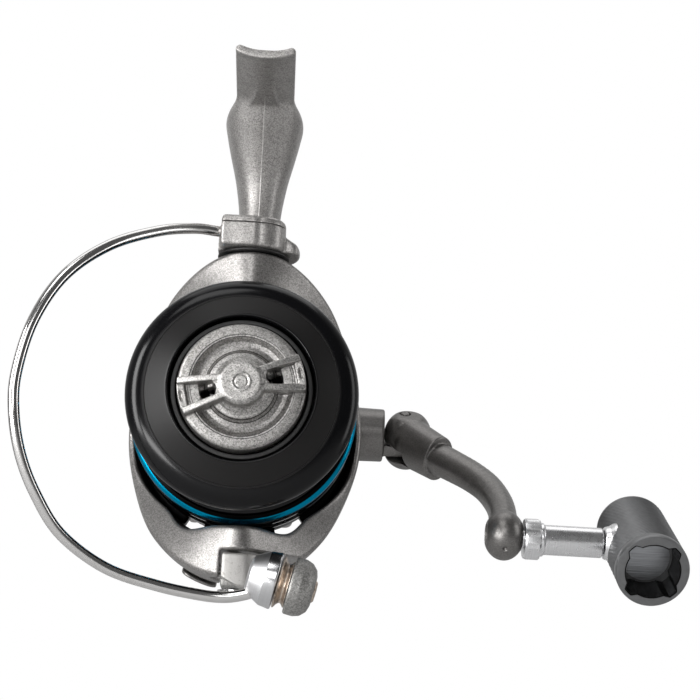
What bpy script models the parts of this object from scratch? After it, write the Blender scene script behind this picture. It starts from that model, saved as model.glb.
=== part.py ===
"""Front-drag spinning reel, modelled as an assembly of separate solids.

Lengths are in millimetres and become metres when a mesh is finished. Positions are measured on the
spool axis: X points to the handle, Y to the rear of the reel and Z to the foot, with Y = 0 at the
plane of the spool's front lip. The empty named reel then carries everything, so that the world
origin is the middle of the foot's seat.
"""

import math

import bmesh
import bpy
from mathutils import Matrix, Vector

MM = 0.001

# Foot and stem
SEAT_Y = 41.0
SEAT_Z = 80.0
FOOT_HALF_LENGTH = 31.0
FOOT_HALF_WIDTH = 6.1
FOOT_TROUGH_RADIUS = 12.0

# Spool
LIP_RADIUS = 24.5
SKIRT_RADIUS = 24.6
SKIRT_END = 36.0
ARBOR_RADIUS = 17.8
SHAFT_RADIUS = 2.0

# Rotor
SLEEVE_RADIUS = 22.4
ROTOR_HALF_WIDTH = 26.9
ARM_HALF_WIDTH = 27.4
ROTOR_REAR = 53.5
BAIL_Y = 20.0

# Drive train
DRIVE_Y = 73.0
DRIVE_Z = 6.5
DRIVE_TEETH = 31
PINION_TEETH = 6
PINION_TIP = 4.5
TRANSFER_TEETH = 10
OSCILLATION_TEETH = 16
GEAR_FACE_X = -4.8
CASE_LEFT = -11.0
CASE_RIGHT = 12.5
CASE_WALL = 2.2

# Handle, in a plane that turns about the drive gear's axis
CRANK_ANGLE = math.radians(34)
FOLD_X = 38.8
CRANK_X = 59.4
CRANK_LENGTH = 52.2
KNOB_X = 90.0
KNOB_RADIUS = 8.1
KNOB_LENGTH = 28.0
KNOB_ANGLE = math.radians(27)

# Oscillation, which strokes the shaft and the spool
CRANK_PIN_RADIUS = 6.0
SLIDER_Y = 84.0
SLIDER_HALF = 4.0
ROD_X = 3.9
ROD_Z = 9.3

# Bail
WIRE_RADIUS = 1.2
ROLLER_CENTRE = Vector((11.1, 8.5, -38.2))
ROLLER_AXIS = Vector((math.cos(math.radians(13)), 0, -math.sin(math.radians(13))))

X_AXIS = Vector((1, 0, 0))
Y_AXIS = Vector((0, 1, 0))
Z_AXIS = Vector((0, 0, 1))

CRANK_DIR = Vector((0, -math.cos(CRANK_ANGLE), -math.sin(CRANK_ANGLE)))
FOLD_AXIS = Vector((0, -math.sin(CRANK_ANGLE), math.cos(CRANK_ANGLE)))
DRIVE_CENTRE = Vector((0, DRIVE_Y, DRIVE_Z))
SPINDLE_POINT = DRIVE_CENTRE + CRANK_DIR * CRANK_LENGTH
KNOB_AXIS = Vector((0, -math.cos(KNOB_ANGLE), -math.sin(KNOB_ANGLE)))
OSCILLATION_CENTRE = Vector((0, 86.6, 0))
LEVER_CENTRE = Vector((0, 88.0, -18.2))

# Each moving group hangs on an empty that stands on its joint's axis: name, parent, place.
GROUPS = {
    "body": (None, Vector((0, SEAT_Y, SEAT_Z))),
    "rotor": ("body", Vector((0, ROTOR_REAR, 0))),
    "bail": ("rotor", Vector((0, BAIL_Y, 0))),
    "roller": ("bail", ROLLER_CENTRE),
    "shaft": ("body", Vector((0, 60, 0))),
    "spool": ("shaft", Vector((0, 20, 0))),
    "drag": ("shaft", Vector((0, -5, 0))),
    "drive": ("body", DRIVE_CENTRE),
    "oscillation": ("body", OSCILLATION_CENTRE),
    "arm": ("drive", DRIVE_CENTRE + X_AXIS * FOLD_X),
    "grip": ("arm", SPINDLE_POINT + X_AXIS * KNOB_X),
    "lever": ("body", LEVER_CENTRE),
}
EMPTIES = {}

FINISHES = {
    # name: (colour, roughness, metallic)
    "silver_paint": ((0.33, 0.32, 0.31), 0.42, 0.6),
    "gunmetal": ((0.13, 0.13, 0.13), 0.38, 0.8),
    "gloss_black": ((0.008, 0.008, 0.009), 0.12, 0.0),
    "blue_anodised": ((0.0, 0.26, 0.45), 0.25, 0.7),
    "cast_silver": ((0.45, 0.44, 0.43), 0.4, 0.8),
    "steel": ((0.62, 0.61, 0.6), 0.22, 1.0),
    "bright_aluminium": ((0.78, 0.78, 0.79), 0.25, 1.0),
    "champagne": ((0.62, 0.5, 0.36), 0.25, 1.0),
    "knurled_grey": ((0.1, 0.105, 0.11), 0.4, 0.8),
    "brass": ((0.6, 0.42, 0.16), 0.3, 1.0),
    "zinc": ((0.5, 0.5, 0.49), 0.4, 0.9),
    "fibre": ((0.12, 0.1, 0.08), 0.9, 0.0),
    "rubber": ((0.01, 0.01, 0.01), 0.6, 0.0),
}


def clear_scene():
    for obj in list(bpy.data.objects):
        bpy.data.objects.remove(obj, do_unlink=True)


def finish_material(name):
    """Return the named Principled material, made once."""
    material = bpy.data.materials.get(name)
    if material:
        return material
    colour, roughness, metallic = FINISHES[name]
    material = bpy.data.materials.new(name)
    material.use_nodes = True
    shader = material.node_tree.nodes["Principled BSDF"]
    shader.inputs["Base Color"].default_value = (*colour, 1)
    shader.inputs["Roughness"].default_value = roughness
    shader.inputs["Metallic"].default_value = metallic
    return material


def make_empties():
    """Make the empties that carry the moving groups, each standing on its joint's axis."""
    for name, (parent, place) in GROUPS.items():
        empty = bpy.data.objects.new("group_" + name, None)
        bpy.context.scene.collection.objects.link(empty)
        if parent:
            empty.parent = EMPTIES[parent]
            empty.location = (place - GROUPS[parent][1]) * MM
        EMPTIES[name] = empty


def add(name, bm, finish, group):
    """Turn a closed mesh in millimetres into a named object that hangs on its group's empty."""
    bmesh.ops.recalc_face_normals(bm, faces=bm.faces)
    bm.transform(Matrix.Scale(MM, 4) @ Matrix.Translation(-GROUPS[group][1]))
    mesh = bpy.data.meshes.new(name)
    bm.to_mesh(mesh)
    bm.free()
    mesh.materials.append(finish_material(finish))
    mesh.shade_smooth()
    mesh.set_sharp_from_angle(angle=math.radians(35))
    obj = bpy.data.objects.new(name, mesh)
    bpy.context.scene.collection.objects.link(obj)
    obj.parent = EMPTIES[group]
    return obj


def combine(obj, bm, operation, group):
    """Cut obj by the mesh, or join the mesh to it, with a hidden operand."""
    operand = add(obj.name + "_" + operation.lower(), bm, "rubber", group)
    operand.hide_render = True
    operand.display_type = "WIRE"
    modifier = obj.modifiers.new(operand.name, "BOOLEAN")
    modifier.operation = operation
    modifier.object = operand


def frame(origin, z_axis, x_axis):
    """Return the matrix of a local frame with the given Z and, as near as it can be, X."""
    z = Vector(z_axis).normalized()
    y = z.cross(x_axis).normalized()
    x = y.cross(z)
    return Matrix.Translation(origin) @ Matrix((x, y, z)).transposed().to_4x4()


def on_spool_axis(y=0.0):
    return frame((0, y, 0), Y_AXIS, X_AXIS)


def on_drive_axis(x=0.0):
    return frame(DRIVE_CENTRE + X_AXIS * x, X_AXIS, CRANK_DIR)


def bridge(bm, first, second):
    """Join two loops of vertices, or a loop and a single pole, with faces."""
    count = max(len(first), len(second))
    for i in range(count):
        j = (i + 1) % count
        if len(first) == 1:
            bm.faces.new((first[0], second[i], second[j]))
        elif len(second) == 1:
            bm.faces.new((first[i], first[j], second[0]))
        else:
            bm.faces.new((first[i], first[j], second[j], second[i]))


def turned(profile, place, sides=32):
    """Turn an outline of (radius, height) points about place's Z axis.

    The outline is either closed, which leaves a bore, or starts and ends on the axis.
    """
    bm = bmesh.new()
    rings = []
    for radius, height in profile:
        steps = sides if radius > 0 else 1
        ring = []
        for i in range(steps):
            turn = math.tau * i / sides
            point = Vector((radius * math.cos(turn), radius * math.sin(turn), height))
            ring.append(bm.verts.new(place @ point))
        rings.append(ring)
    for first, second in zip(rings, rings[1:] + rings[:1]):
        if len(first) + len(second) > 2:
            bridge(bm, first, second)
    return bm


def lofted(loops):
    """Skin loops of points that have equal counts, and close both ends."""
    bm = bmesh.new()
    rings = [[bm.verts.new(point) for point in loop] for loop in loops]
    for first, second in zip(rings, rings[1:]):
        bridge(bm, first, second)
    bm.faces.new(rings[0])
    bm.faces.new(rings[-1])
    return bm


def prism(outline, place, low, high):
    """Extrude an outline of (x, y) points along place's Z axis."""
    return lofted([[place @ Vector((x, y, z)) for x, y in outline] for z in (low, high)])


def hollow_prism(outer, inner, place, low, high):
    """Extrude the band between two outlines that have equal counts."""
    bm = bmesh.new()
    rings = []
    for outline, z in ((outer, low), (outer, high), (inner, high), (inner, low)):
        rings.append([bm.verts.new(place @ Vector((x, y, z))) for x, y in outline])
    for first, second in zip(rings, rings[1:] + rings[:1]):
        bridge(bm, first, second)
    return bm


def circle(radius, sides, centre=(0.0, 0.0), start=0.0):
    points = []
    for i in range(sides):
        turn = start + math.tau * i / sides
        points.append((centre[0] + radius * math.cos(turn), centre[1] + radius * math.sin(turn)))
    return points


def rectangle(half_x, half_y):
    return [(-half_x, -half_y), (half_x, -half_y), (half_x, half_y), (-half_x, half_y)]


def gear_outline(teeth, root, tip):
    """Return an outline with pointed teeth, two points to a tooth."""
    points = []
    for i in range(teeth * 2):
        radius = tip if i % 2 else root
        turn = math.tau * i / (teeth * 2)
        points.append((radius * math.cos(turn), radius * math.sin(turn)))
    return points


def belt_outline(circles, steps):
    """Return the outline round two circles of (x, y, radius), as a belt would lie on them."""
    (ax, ay, ar), (bx, by, br) = circles
    heading = math.atan2(by - ay, bx - ax)
    lean = math.acos((ar - br) / math.hypot(bx - ax, by - ay))
    points = []
    for (cx, cy, radius), start, end in (
        ((ax, ay, ar), heading + lean, heading - lean + math.tau),
        ((bx, by, br), heading - lean, heading + lean),
    ):
        for i in range(steps + 1):
            turn = start + (end - start) * i / steps
            points.append((cx + radius * math.cos(turn), cy + radius * math.sin(turn)))
    return points


def smooth_path(points, steps):
    """Return points along a Catmull-Rom curve through the given points."""
    ends = [points[0] * 2 - points[1]] + list(points) + [points[-1] * 2 - points[-2]]
    path = []
    for a, b, c, d in zip(ends, ends[1:], ends[2:], ends[3:]):
        for i in range(steps):
            t = i / steps
            path.append(
                0.5 * (2 * b + (c - a) * t + (2 * a - 5 * b + 4 * c - d) * t * t
                       + (3 * b - a - 3 * c + d) * t ** 3)
            )
    path.append(points[-1])
    return path


def swept(path, radii, sides, up=Z_AXIS):
    """Sweep a circle, or an ellipse where radii holds pairs, along a path."""
    loops = []
    side = None
    for i, point in enumerate(path):
        ahead = path[min(i + 1, len(path) - 1)] - path[max(i - 1, 0)]
        ahead.normalize()
        side = up if side is None else side
        side = (side - ahead * side.dot(ahead)).normalized()
        other = ahead.cross(side)
        wide, tall = radii[i] if isinstance(radii[i], tuple) else (radii[i], radii[i])
        loop = []
        for k in range(sides):
            turn = math.tau * k / sides
            loop.append(point + side * (tall * math.cos(turn)) + other * (wide * math.sin(turn)))
        loops.append(loop)
    return lofted(loops)


# ---------------------------------------------------------------- spool, drag and main shaft


def build_spool():
    """The spool turns on the main shaft only when the drag slips."""
    axis = on_spool_axis()
    spool = [
        (15.2, -4.6), (15.6, -5.0), (20.2, -2.0), (20.2, 3.3), (22.0, 3.3), (22.0, 4.6),
        (18.2, 6.0), (ARBOR_RADIUS, 7.0), (ARBOR_RADIUS, 16.6), (18.4, 17.4), (23.2, 18.8),
        (SKIRT_RADIUS, 19.6), (SKIRT_RADIUS, 19.9), (23.9, 20.0), (23.9, 22.0),
        (SKIRT_RADIUS, 22.1), (SKIRT_RADIUS, SKIRT_END - 0.5), (24.2, SKIRT_END),
        (23.4, SKIRT_END), (23.2, 22.5), (22.4, 20.6), (16.2, 18.6), (16.2, 12.5), (6.0, 12.0),
        (6.0, 20.0), (3.2, 20.0), (3.2, 9.3), (11.5, 9.3), (11.5, 2.0), (15.2, 2.0),
    ]
    add("spool", turned(spool, axis, 26), "gloss_black", "spool")
    lip = [
        (20.5, -2.0), (22.6, -1.0), (24.1, 0.3), (LIP_RADIUS, 1.4), (24.2, 2.6), (23.4, 3.0),
        (20.5, 3.0),
    ]
    add("spool_lip", turned(lip, axis, 26), "gloss_black", "spool")
    ring = [(24.2, 20.3), (24.9, 20.4), (24.9, 21.7), (24.2, 21.8)]
    add("skirt_ring", turned(ring, axis, 26), "blue_anodised", "spool")
    bush = [(2.1, 12.0), (2.9, 12.0), (2.9, 20.4), (4.4, 20.4), (4.4, 21.0), (2.1, 21.0)]
    add("spool_bush", turned(bush, axis, 16), "brass", "spool")
    for i in range(5):
        low = 8.3 - i * 1.05
        kind = "fibre" if i % 2 == 0 else "steel"
        washer = [(3.0, low), (11.1, low), (11.1, low + 0.75), (3.0, low + 0.75)]
        name = ("drag_fibre_washer_" if i % 2 == 0 else "drag_metal_washer_") + str(i // 2 + 1)
        add(name, turned(washer, axis, 16), kind, "spool")
    wire = [(10.7 + 0.4 * x, 3.3 + 0.4 * y) for x, y in circle(1, 5)]
    add("drag_retaining_ring", turned(wire, axis, 18), "steel", "spool")


def build_main_shaft():
    """The shaft carries the spool and the drag knob, and strokes with the oscillation slider."""
    axis = on_spool_axis()
    shaft = [(0, -7.5), (1.7, -7.2), (SHAFT_RADIUS, -6.9),
             (SHAFT_RADIUS, SLIDER_Y + SLIDER_HALF), (0, SLIDER_Y + SLIDER_HALF)]
    add("main_shaft", turned(shaft, axis, 16), "steel", "shaft")
    washer = [(2.3, 21.4), (5.0, 21.4), (5.0, 22.2), (2.3, 22.2)]
    add("spool_washer", turned(washer, axis, 24), "zinc", "shaft")
    ratchet = hollow_prism(gear_outline(14, 6.6, 7.6), circle(2.3, 28), axis, 22.6, 24.0)
    add("click_ratchet", ratchet, "zinc", "shaft")


def build_slider():
    """A block on the rear of the shaft, with the slot that the crank pin works in."""
    low, high = SLIDER_Y - SLIDER_HALF, SLIDER_Y + SLIDER_HALF
    block = turned([(2.3, low), (3.4, low), (3.4, high), (2.3, high)], on_spool_axis(), 20)
    slider = add("oscillation_slider", block, "zinc", "shaft")
    upright = frame((0, SLIDER_Y, 0), X_AXIS, Z_AXIS)
    plate = prism(rectangle(10.9, SLIDER_HALF - 0.3), upright, 2.6, 5.2)
    combine(slider, plate, "UNION", "shaft")
    slot = prism(rectangle(7.5, 1.5), upright, 3.8, 6.0)
    combine(slider, slot, "DIFFERENCE", "shaft")
    for z in (-ROD_Z, ROD_Z):
        rod_place = frame((ROD_X, 0, z), Y_AXIS, X_AXIS)
        rod_hole = turned([(0, 78), (0.95, 78), (0.95, 90), (0, 90)], rod_place, 12)
        combine(slider, rod_hole, "DIFFERENCE", "shaft")
    head = [(0, 0.3), (3.0, 0.3), (3.2, 0.7), (3.2, 1.6), (2.6, 2.0), (0, 2.0)]
    add("slider_screw", turned(head, on_spool_axis(high), 16), "steel", "shaft")


def build_drag_knob():
    """The knob presses the washers through its nut and spring."""
    axis = on_spool_axis()
    knob_profile = [
        (0, -8.6), (6.0, -8.4), (6.9, -7.6), (7.0, -6.6), (7.4, -6.0), (10.0, -5.2), (10.4, -6.2),
        (11.1, -6.3), (12.9, -6.0), (13.3, -5.4), (13.3, -1.2), (11.6, -0.8), (11.6, -3.4),
        (8.4, -3.6), (8.4, -5.0), (2.6, -5.0), (2.6, -7.9), (0, -7.9),
    ]
    knob = add("drag_knob", turned(knob_profile, axis, 24), "cast_silver", "drag")
    hub = [(0, -11.2), (4.0, -11.2), (4.7, -10.7), (5.1, -8.2), (0, -8.2)]
    combine(knob, turned(hub, axis, 16), "UNION", "drag")
    bar_turn = math.radians(12.5)
    for side in (0, math.pi):
        for spread in (-1, 1):
            across = frame((0, 0, 0), -Y_AXIS, X_AXIS) @ Matrix.Rotation(bar_turn + side, 4, "Z")
            inner, outer = 1.9 * spread, 3.0 * spread
            start = [(3.0, inner - 0.65, 7.9), (3.0, inner + 0.65, 7.9),
                     (3.0, inner + 0.65, 11.0), (3.0, inner - 0.65, 11.0)]
            end = [(12.6, outer - 0.8, 5.0), (12.6, outer + 0.8, 5.0),
                   (12.6, outer + 0.6, 9.0), (12.6, outer - 0.6, 9.0)]
            fork = lofted([[across @ Vector(p) for p in loop] for loop in (start, end)])
            combine(knob, fork, "UNION", "drag")
    nut = hollow_prism(circle(4.6, 12), circle(2.3, 12), on_spool_axis(), -4.7, -2.4)
    add("drag_nut", nut, "brass", "drag")
    coil = []
    turns, steps = 3, 10
    for i in range(turns * steps + 1):
        turn = math.tau * i / steps
        height = -1.7 + 3.4 * i / (turns * steps)
        coil.append(Vector((6.6 * math.cos(turn), height, 6.6 * math.sin(turn))))
    add("drag_spring", swept(coil, [0.45] * len(coil), 5, Y_AXIS), "steel", "drag")
    seal = [(13.7, -3.6), (14.8, -3.6), (14.8, 1.4), (12.0, 1.4), (12.0, 0.4), (13.7, 0.0)]
    add("drag_seal", turned(seal, axis, 24), "rubber", "drag")


# ---------------------------------------------------------------- rotor and bail


def arm_height(side, y):
    """Return the outer height of a rotor arm, which leans inward towards the rear."""
    tip, root = (35.4, 29.0) if side > 0 else (37.4, 30.0)
    t = min(1.0, max(0.0, (ROTOR_REAR - y) / 27.0))
    return root + (tip - root) * t * t * (3 - 2 * t)


def arm_shell(side):
    """Return one rotor arm: a shell on an elliptical outline, long in its middle, short beside."""
    half_turn = math.radians(78)
    across, along = 12, 5
    outer, inner = [], []
    for i in range(across + 1):
        turn = half_turn * (2 * i / across - 1)
        front = 12.5 + 33.0 * (abs(math.sin(turn)) / math.sin(half_turn)) ** 1.6
        outer_row, inner_row = [], []
        for k in range(along + 1):
            y = front + (ROTOR_REAR - 0.5 - front) * k / along
            height = arm_height(side, y)
            close = 2.0 * max(0.0, (y - 44) / (ROTOR_REAR - 44))
            outer_row.append(Vector((
                ARM_HALF_WIDTH * math.sin(turn), y, side * height * math.cos(turn))))
            inner_row.append(Vector((
                (25.8 - close) * math.sin(turn), y, side * (26.6 - close) * math.cos(turn))))
        outer.append(outer_row)
        inner.append(inner_row)
    bm = bmesh.new()
    loops = []
    for outer_row, inner_row in zip(outer, inner):
        loops.append([bm.verts.new(p) for p in outer_row + inner_row[::-1]])
    for first, second in zip(loops, loops[1:]):
        bridge(bm, first, second)
    bm.faces.new(loops[0])
    bm.faces.new(loops[-1])
    return bm


def sector(inner, outer, middle, half_angle, place, low, high):
    """Return a block that fills an annular sector round place's Z axis."""
    steps = 10
    outline = []
    for radius, order in ((inner, range(steps + 1)), (outer, range(steps, -1, -1))):
        for i in order:
            turn = middle + half_angle * (2 * i / steps - 1)
            outline.append((radius * math.cos(turn), radius * math.sin(turn)))
    return prism(outline, place, low, high)


def build_rotor():
    """The cup turns round the gear case's collar and carries the bail on two arms."""
    axis = on_spool_axis()
    cup = [
        (20.4, 33.0), (SLEEVE_RADIUS, 33.0), (SLEEVE_RADIUS, 49.8), (26.2, 49.8),
        (ROTOR_HALF_WIDTH, 50.4), (ROTOR_HALF_WIDTH, ROTOR_REAR - 0.6), (26.2, ROTOR_REAR),
        (20.4, ROTOR_REAR), (20.4, 41.4), (8.0, 41.4), (8.0, 44.0), (3.8, 44.0), (3.8, 38.6),
        (20.4, 38.6),
    ]
    rotor = add("rotor", turned(cup, axis, 28), "silver_paint", "rotor")
    skewed = frame((0, BAIL_Y, 0), Z_AXIS, Vector((1, 0.31, 0)))
    for side in (1, -1):
        combine(rotor, arm_shell(side), "UNION", "rotor")
        bore = turned([(0, -8.0), (1.9, -8.0), (1.9, 8.0), (0, 8.0)],
                      Matrix.Translation((0, 0, side * 31.0)) @ skewed, 14)
        combine(rotor, bore, "DIFFERENCE", "rotor")
    rearward = frame((0, 0, 0), -Y_AXIS, X_AXIS)
    for side in (1, -1):
        for lean in (-1, 1):
            middle = side * math.pi / 2 + lean * math.radians(28)
            window = sector(22.8, 25.8, middle, math.radians(13), rearward, -56.0, -47.0)
            combine(rotor, window, "DIFFERENCE", "rotor")
    pocket = prism([(-9.5, 5.0), (9.5, 5.0), (9.5, 28.0), (-9.5, 28.0)],
                   frame((0, 0, 0), Z_AXIS, X_AXIS), -45.0, -33.0)
    combine(rotor, pocket, "DIFFERENCE", "rotor")
    roller_path = sector(7.0, 26.4, math.radians(8), math.radians(101), pivot_plane(), -46.0, -31.2)
    combine(rotor, roller_path, "DIFFERENCE", "rotor")
    flat = prism([(-12, 5.0), (12, 5.0), (12, 28.6), (-12, 28.6)],
                 frame((0, 0, 0), Z_AXIS, X_AXIS), 34.6, 42.0)
    combine(rotor, flat, "DIFFERENCE", "rotor")
    nut = hollow_prism(circle(7.0, 18), circle(3.7, 18), axis, 35.0, 38.2)
    add("rotor_nut", nut, "steel", "rotor")
    pinion = hollow_prism(circle(3.4, 16), circle(2.3, 16), axis, 34.4, 63.0)
    gear = add("pinion_gear", pinion, "brass", "rotor")
    tooth_outline = gear_outline(PINION_TEETH, 3.5, PINION_TIP)
    teeth = hollow_prism(tooth_outline, circle(2.9, 12), axis, 55.6, 62.4)
    combine(gear, teeth, "UNION", "rotor")

    add("upper_arm_cover", cover_shell(1, -17, 17), "silver_paint", "rotor")
    add("lower_arm_cover", cover_shell(-1, -24, -7.5), "silver_paint", "rotor")


def cover_shell(side, first_turn, last_turn):
    """Return a thin cover on the outside of a rotor arm, beside the path of the bail."""
    across, along = 6, 4
    loops = []
    bm = bmesh.new()
    for i in range(across + 1):
        turn = math.radians(first_turn + (last_turn - first_turn) * i / across)
        outer_row, inner_row = [], []
        for k in range(along + 1):
            y = 30.0 + 20.0 * k / along
            height = arm_height(side, y)
            for row, proud in ((inner_row, 0.5), (outer_row, 1.3)):
                reach = height + proud
                row.append(Vector((
                    (ARM_HALF_WIDTH + proud) * math.sin(turn), y, side * reach * math.cos(turn))))
        loops.append([bm.verts.new(p) for p in outer_row + inner_row[::-1]])
    for first, second in zip(loops, loops[1:]):
        bridge(bm, first, second)
    bm.faces.new(loops[0])
    bm.faces.new(loops[-1])
    return bm


def build_bail():
    """Two levers, the wire between them and the line roller turn as one about the arm pivots."""
    pivot = frame((0, BAIL_Y, 0), Z_AXIS, X_AXIS)
    hub = [(1.9, -38.9), (5.6, -38.9), (6.0, -38.4), (6.0, -33.9), (5.6, -33.4), (5.0, -33.4),
           (5.0, -37.4), (1.9, -37.4)]
    arm = add("bail_arm", turned(hub, pivot, 20), "silver_paint", "bail")
    boss_frame = frame(ROLLER_CENTRE, ROLLER_AXIS, Y_AXIS)
    boss = [(0, 1.3), (5.6, 1.3), (6.3, 1.9), (6.3, 4.6), (5.6, 6.0), (3.8, 6.9), (0, 6.9)]
    combine(arm, turned(boss, boss_frame, 18), "UNION", "bail")
    web = [Vector((5.3, 19.8, -36.6)), Vector((10.2, 18.6, -37.2)), Vector((15.2, 14.8, -38.6)),
           Vector((15.4, 9.4, -39.2))]
    path = smooth_path(web, 2)
    combine(arm, swept(path, [(2.5, 2.0)] * len(path), 10), "UNION", "bail")
    screw_bore = turned([(0, -2), (1.3, -2), (1.3, 9), (0, 9)], boss_frame, 14)
    combine(arm, screw_bore, "DIFFERENCE", "bail")

    holder_outline = holder_shape()
    block = prism(holder_outline, pivot_plane(), 36.7, 43.3)
    holder = add("bail_holder", block, "silver_paint", "bail")
    top_bore = turned([(0, 30), (1.9, 30), (1.9, 41.4), (3.4, 41.4), (3.4, 46), (0, 46)], pivot, 20)
    combine(holder, top_bore, "DIFFERENCE", "bail")

    wire = [
        Vector((-8.75, 14.8, 39.9)), Vector((-13.0, 12.0, 39.2)), Vector((-20.5, 6.5, 36.0)),
        Vector((-30.0, -0.5, 30.0)), Vector((-38.2, -5.0, 21.6)), Vector((-43.4, -7.2, 11.1)),
        Vector((-45.7, -8.0, -0.2)), Vector((-45.5, -7.8, -8.2)), Vector((-43.7, -6.2, -16.4)),
        Vector((-40.3, -3.8, -24.0)), Vector((-34.9, 0.0, -31.6)), Vector((-25.7, 4.0, -37.5)),
        Vector((-15.1, 6.4, -40.3)), Vector((-6.0, 7.9, -41.6)), Vector((0.4, 8.4, -41.7)),
    ]
    path = smooth_path(wire, 3)
    add("bail_wire", swept(path, [WIRE_RADIUS] * len(path), 8), "steel", "bail")

    cone_path = [Vector((0.8, 8.4, -41.7)), Vector((2.4, 8.4, -41.4)), Vector((4.4, 8.5, -40.4)),
                 Vector((6.4, 8.5, -38.5)), ROLLER_CENTRE - ROLLER_AXIS * 3.1,
                 ROLLER_CENTRE - ROLLER_AXIS * 1.5]
    cone_radii = [1.5, 2.4, 3.8, 5.3, 6.0, 5.5]
    cone = add("bail_cone", swept(cone_path, cone_radii, 22), "bright_aluminium", "bail")
    cone_bore = turned([(0, -3.6), (1.3, -3.6), (1.3, 0), (0, 0)], boss_frame, 14)
    combine(cone, cone_bore, "DIFFERENCE", "bail")

    bush = [(1.35, -1.0), (1.9, -1.0), (1.9, 0.9), (1.35, 0.9)]
    add("roller_bush", turned(bush, boss_frame, 16), "brass", "bail")
    screw = [(0, -3.3), (1.0, -3.3), (1.0, 7.2), (2.4, 7.2), (2.4, 7.8), (1.8, 8.3), (0, 8.3)]
    add("roller_screw", turned(screw, boss_frame, 12), "champagne", "bail")
    roller = [(2.1, -1.2), (5.1, -1.2), (5.2, -0.9), (4.2, -0.1), (4.2, 0.2), (5.2, 0.8),
              (5.1, 1.0), (2.1, 1.0)]
    add("line_roller", turned(roller, boss_frame, 20), "champagne", "roller")

    lower_screw = [(0, -40.2), (2.4, -40.2), (3.1, -39.8), (3.1, -39.2), (1.55, -39.2),
                   (1.55, -29.0), (0, -29.0)]
    add("bail_arm_screw", turned(lower_screw, pivot, 18), "steel", "rotor")
    upper_screw = [(0, 28.5), (1.55, 28.5), (1.55, 41.8), (3.0, 41.8), (3.0, 42.6), (2.4, 43.0),
                   (0, 43.0)]
    add("bail_holder_screw", turned(upper_screw, pivot, 18), "steel", "rotor")
    bush = [(1.9, 34.9), (7.6, 34.9), (7.6, 36.1), (6.9, 36.4), (1.9, 36.4)]
    add("bail_bush", turned(bush, pivot, 22), "rubber", "rotor")
    coil = []
    turns, steps = 3, 10
    for i in range(turns * steps + 1):
        turn = math.tau * i / steps
        height = -36.6 + 2.6 * i / (turns * steps)
        coil.append(Vector((3.9 * math.cos(turn), BAIL_Y + 3.9 * math.sin(turn), height)))
    add("bail_spring", swept(coil, [0.3] * len(coil), 5), "steel", "rotor")


def pivot_plane():
    return frame((0, BAIL_Y, 0), Z_AXIS, X_AXIS)


def holder_shape():
    """Return the holder's outline seen along the pivot: a round hub drawn out to a flat end."""
    heading = math.radians(180 + 31)
    outline = []
    for i in range(13):
        turn = heading + math.pi / 2 + math.pi * i / 12
        outline.append((7.6 * math.cos(turn), 7.6 * math.sin(turn)))
    ahead = Vector((math.cos(heading), math.sin(heading)))
    aside = Vector((-ahead.y, ahead.x))
    for reach, half in ((7.0, -3.6), (9.6, -3.2), (9.6, 3.2), (7.0, 3.6)):
        point = ahead * reach + aside * half
        outline.append((point.x, point.y))
    return outline


# ---------------------------------------------------------------- gear case, stem and foot


def case_outline(inset=0.0):
    """Return the gear case's outline in the (y, z) plane."""
    return belt_outline(((DRIVE_Y, DRIVE_Z, 20.0 - inset), (91.0, 0.0, 15.5 - inset)), 11)


def case_prism(inset, low, high):
    place = frame((0, 0, 0), X_AXIS, Y_AXIS)
    return prism(case_outline(inset), place, low, high)


def rounded_section(centre_y, z, half_x, half_y, power=2.6, steps=14):
    """Return a level superellipse section of the stem."""
    loop = []
    for i in range(steps):
        turn = math.tau * i / steps
        c, s = math.cos(turn), math.sin(turn)
        x = math.copysign(abs(c) ** (2 / power), c) * half_x
        y = math.copysign(abs(s) ** (2 / power), s) * half_y
        loop.append(Vector((x, centre_y + y, z)))
    return loop


def foot_plate():
    """Return the foot: a plate with a trough along its top and ends that thin out."""
    loops = []
    steps = 8
    for k in range(steps + 1):
        along = 2 * k / steps - 1
        y = SEAT_Y + FOOT_HALF_LENGTH * along
        taper = 1 - 0.12 * along ** 2
        half_width = FOOT_HALF_WIDTH * taper
        thickness = 2.2 + 3.4 * (1 - abs(along) ** 1.4)
        loop = []
        across = 7
        for i in range(across + 1):
            x = half_width * (1 - 2 * i / across)
            beside = max(0.0, abs(x) - half_width / across)
            sag = FOOT_TROUGH_RADIUS - math.sqrt(FOOT_TROUGH_RADIUS ** 2 - beside ** 2)
            loop.append(Vector((x, y, SEAT_Z + sag)))
        for i in range(across + 1):
            x = half_width * (2 * i / across - 1)
            sag = 1.5 * (x / half_width) ** 2
            loop.append(Vector((x, y, SEAT_Z - thickness + sag)))
        loops.append(loop)
    return lofted(loops)


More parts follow.
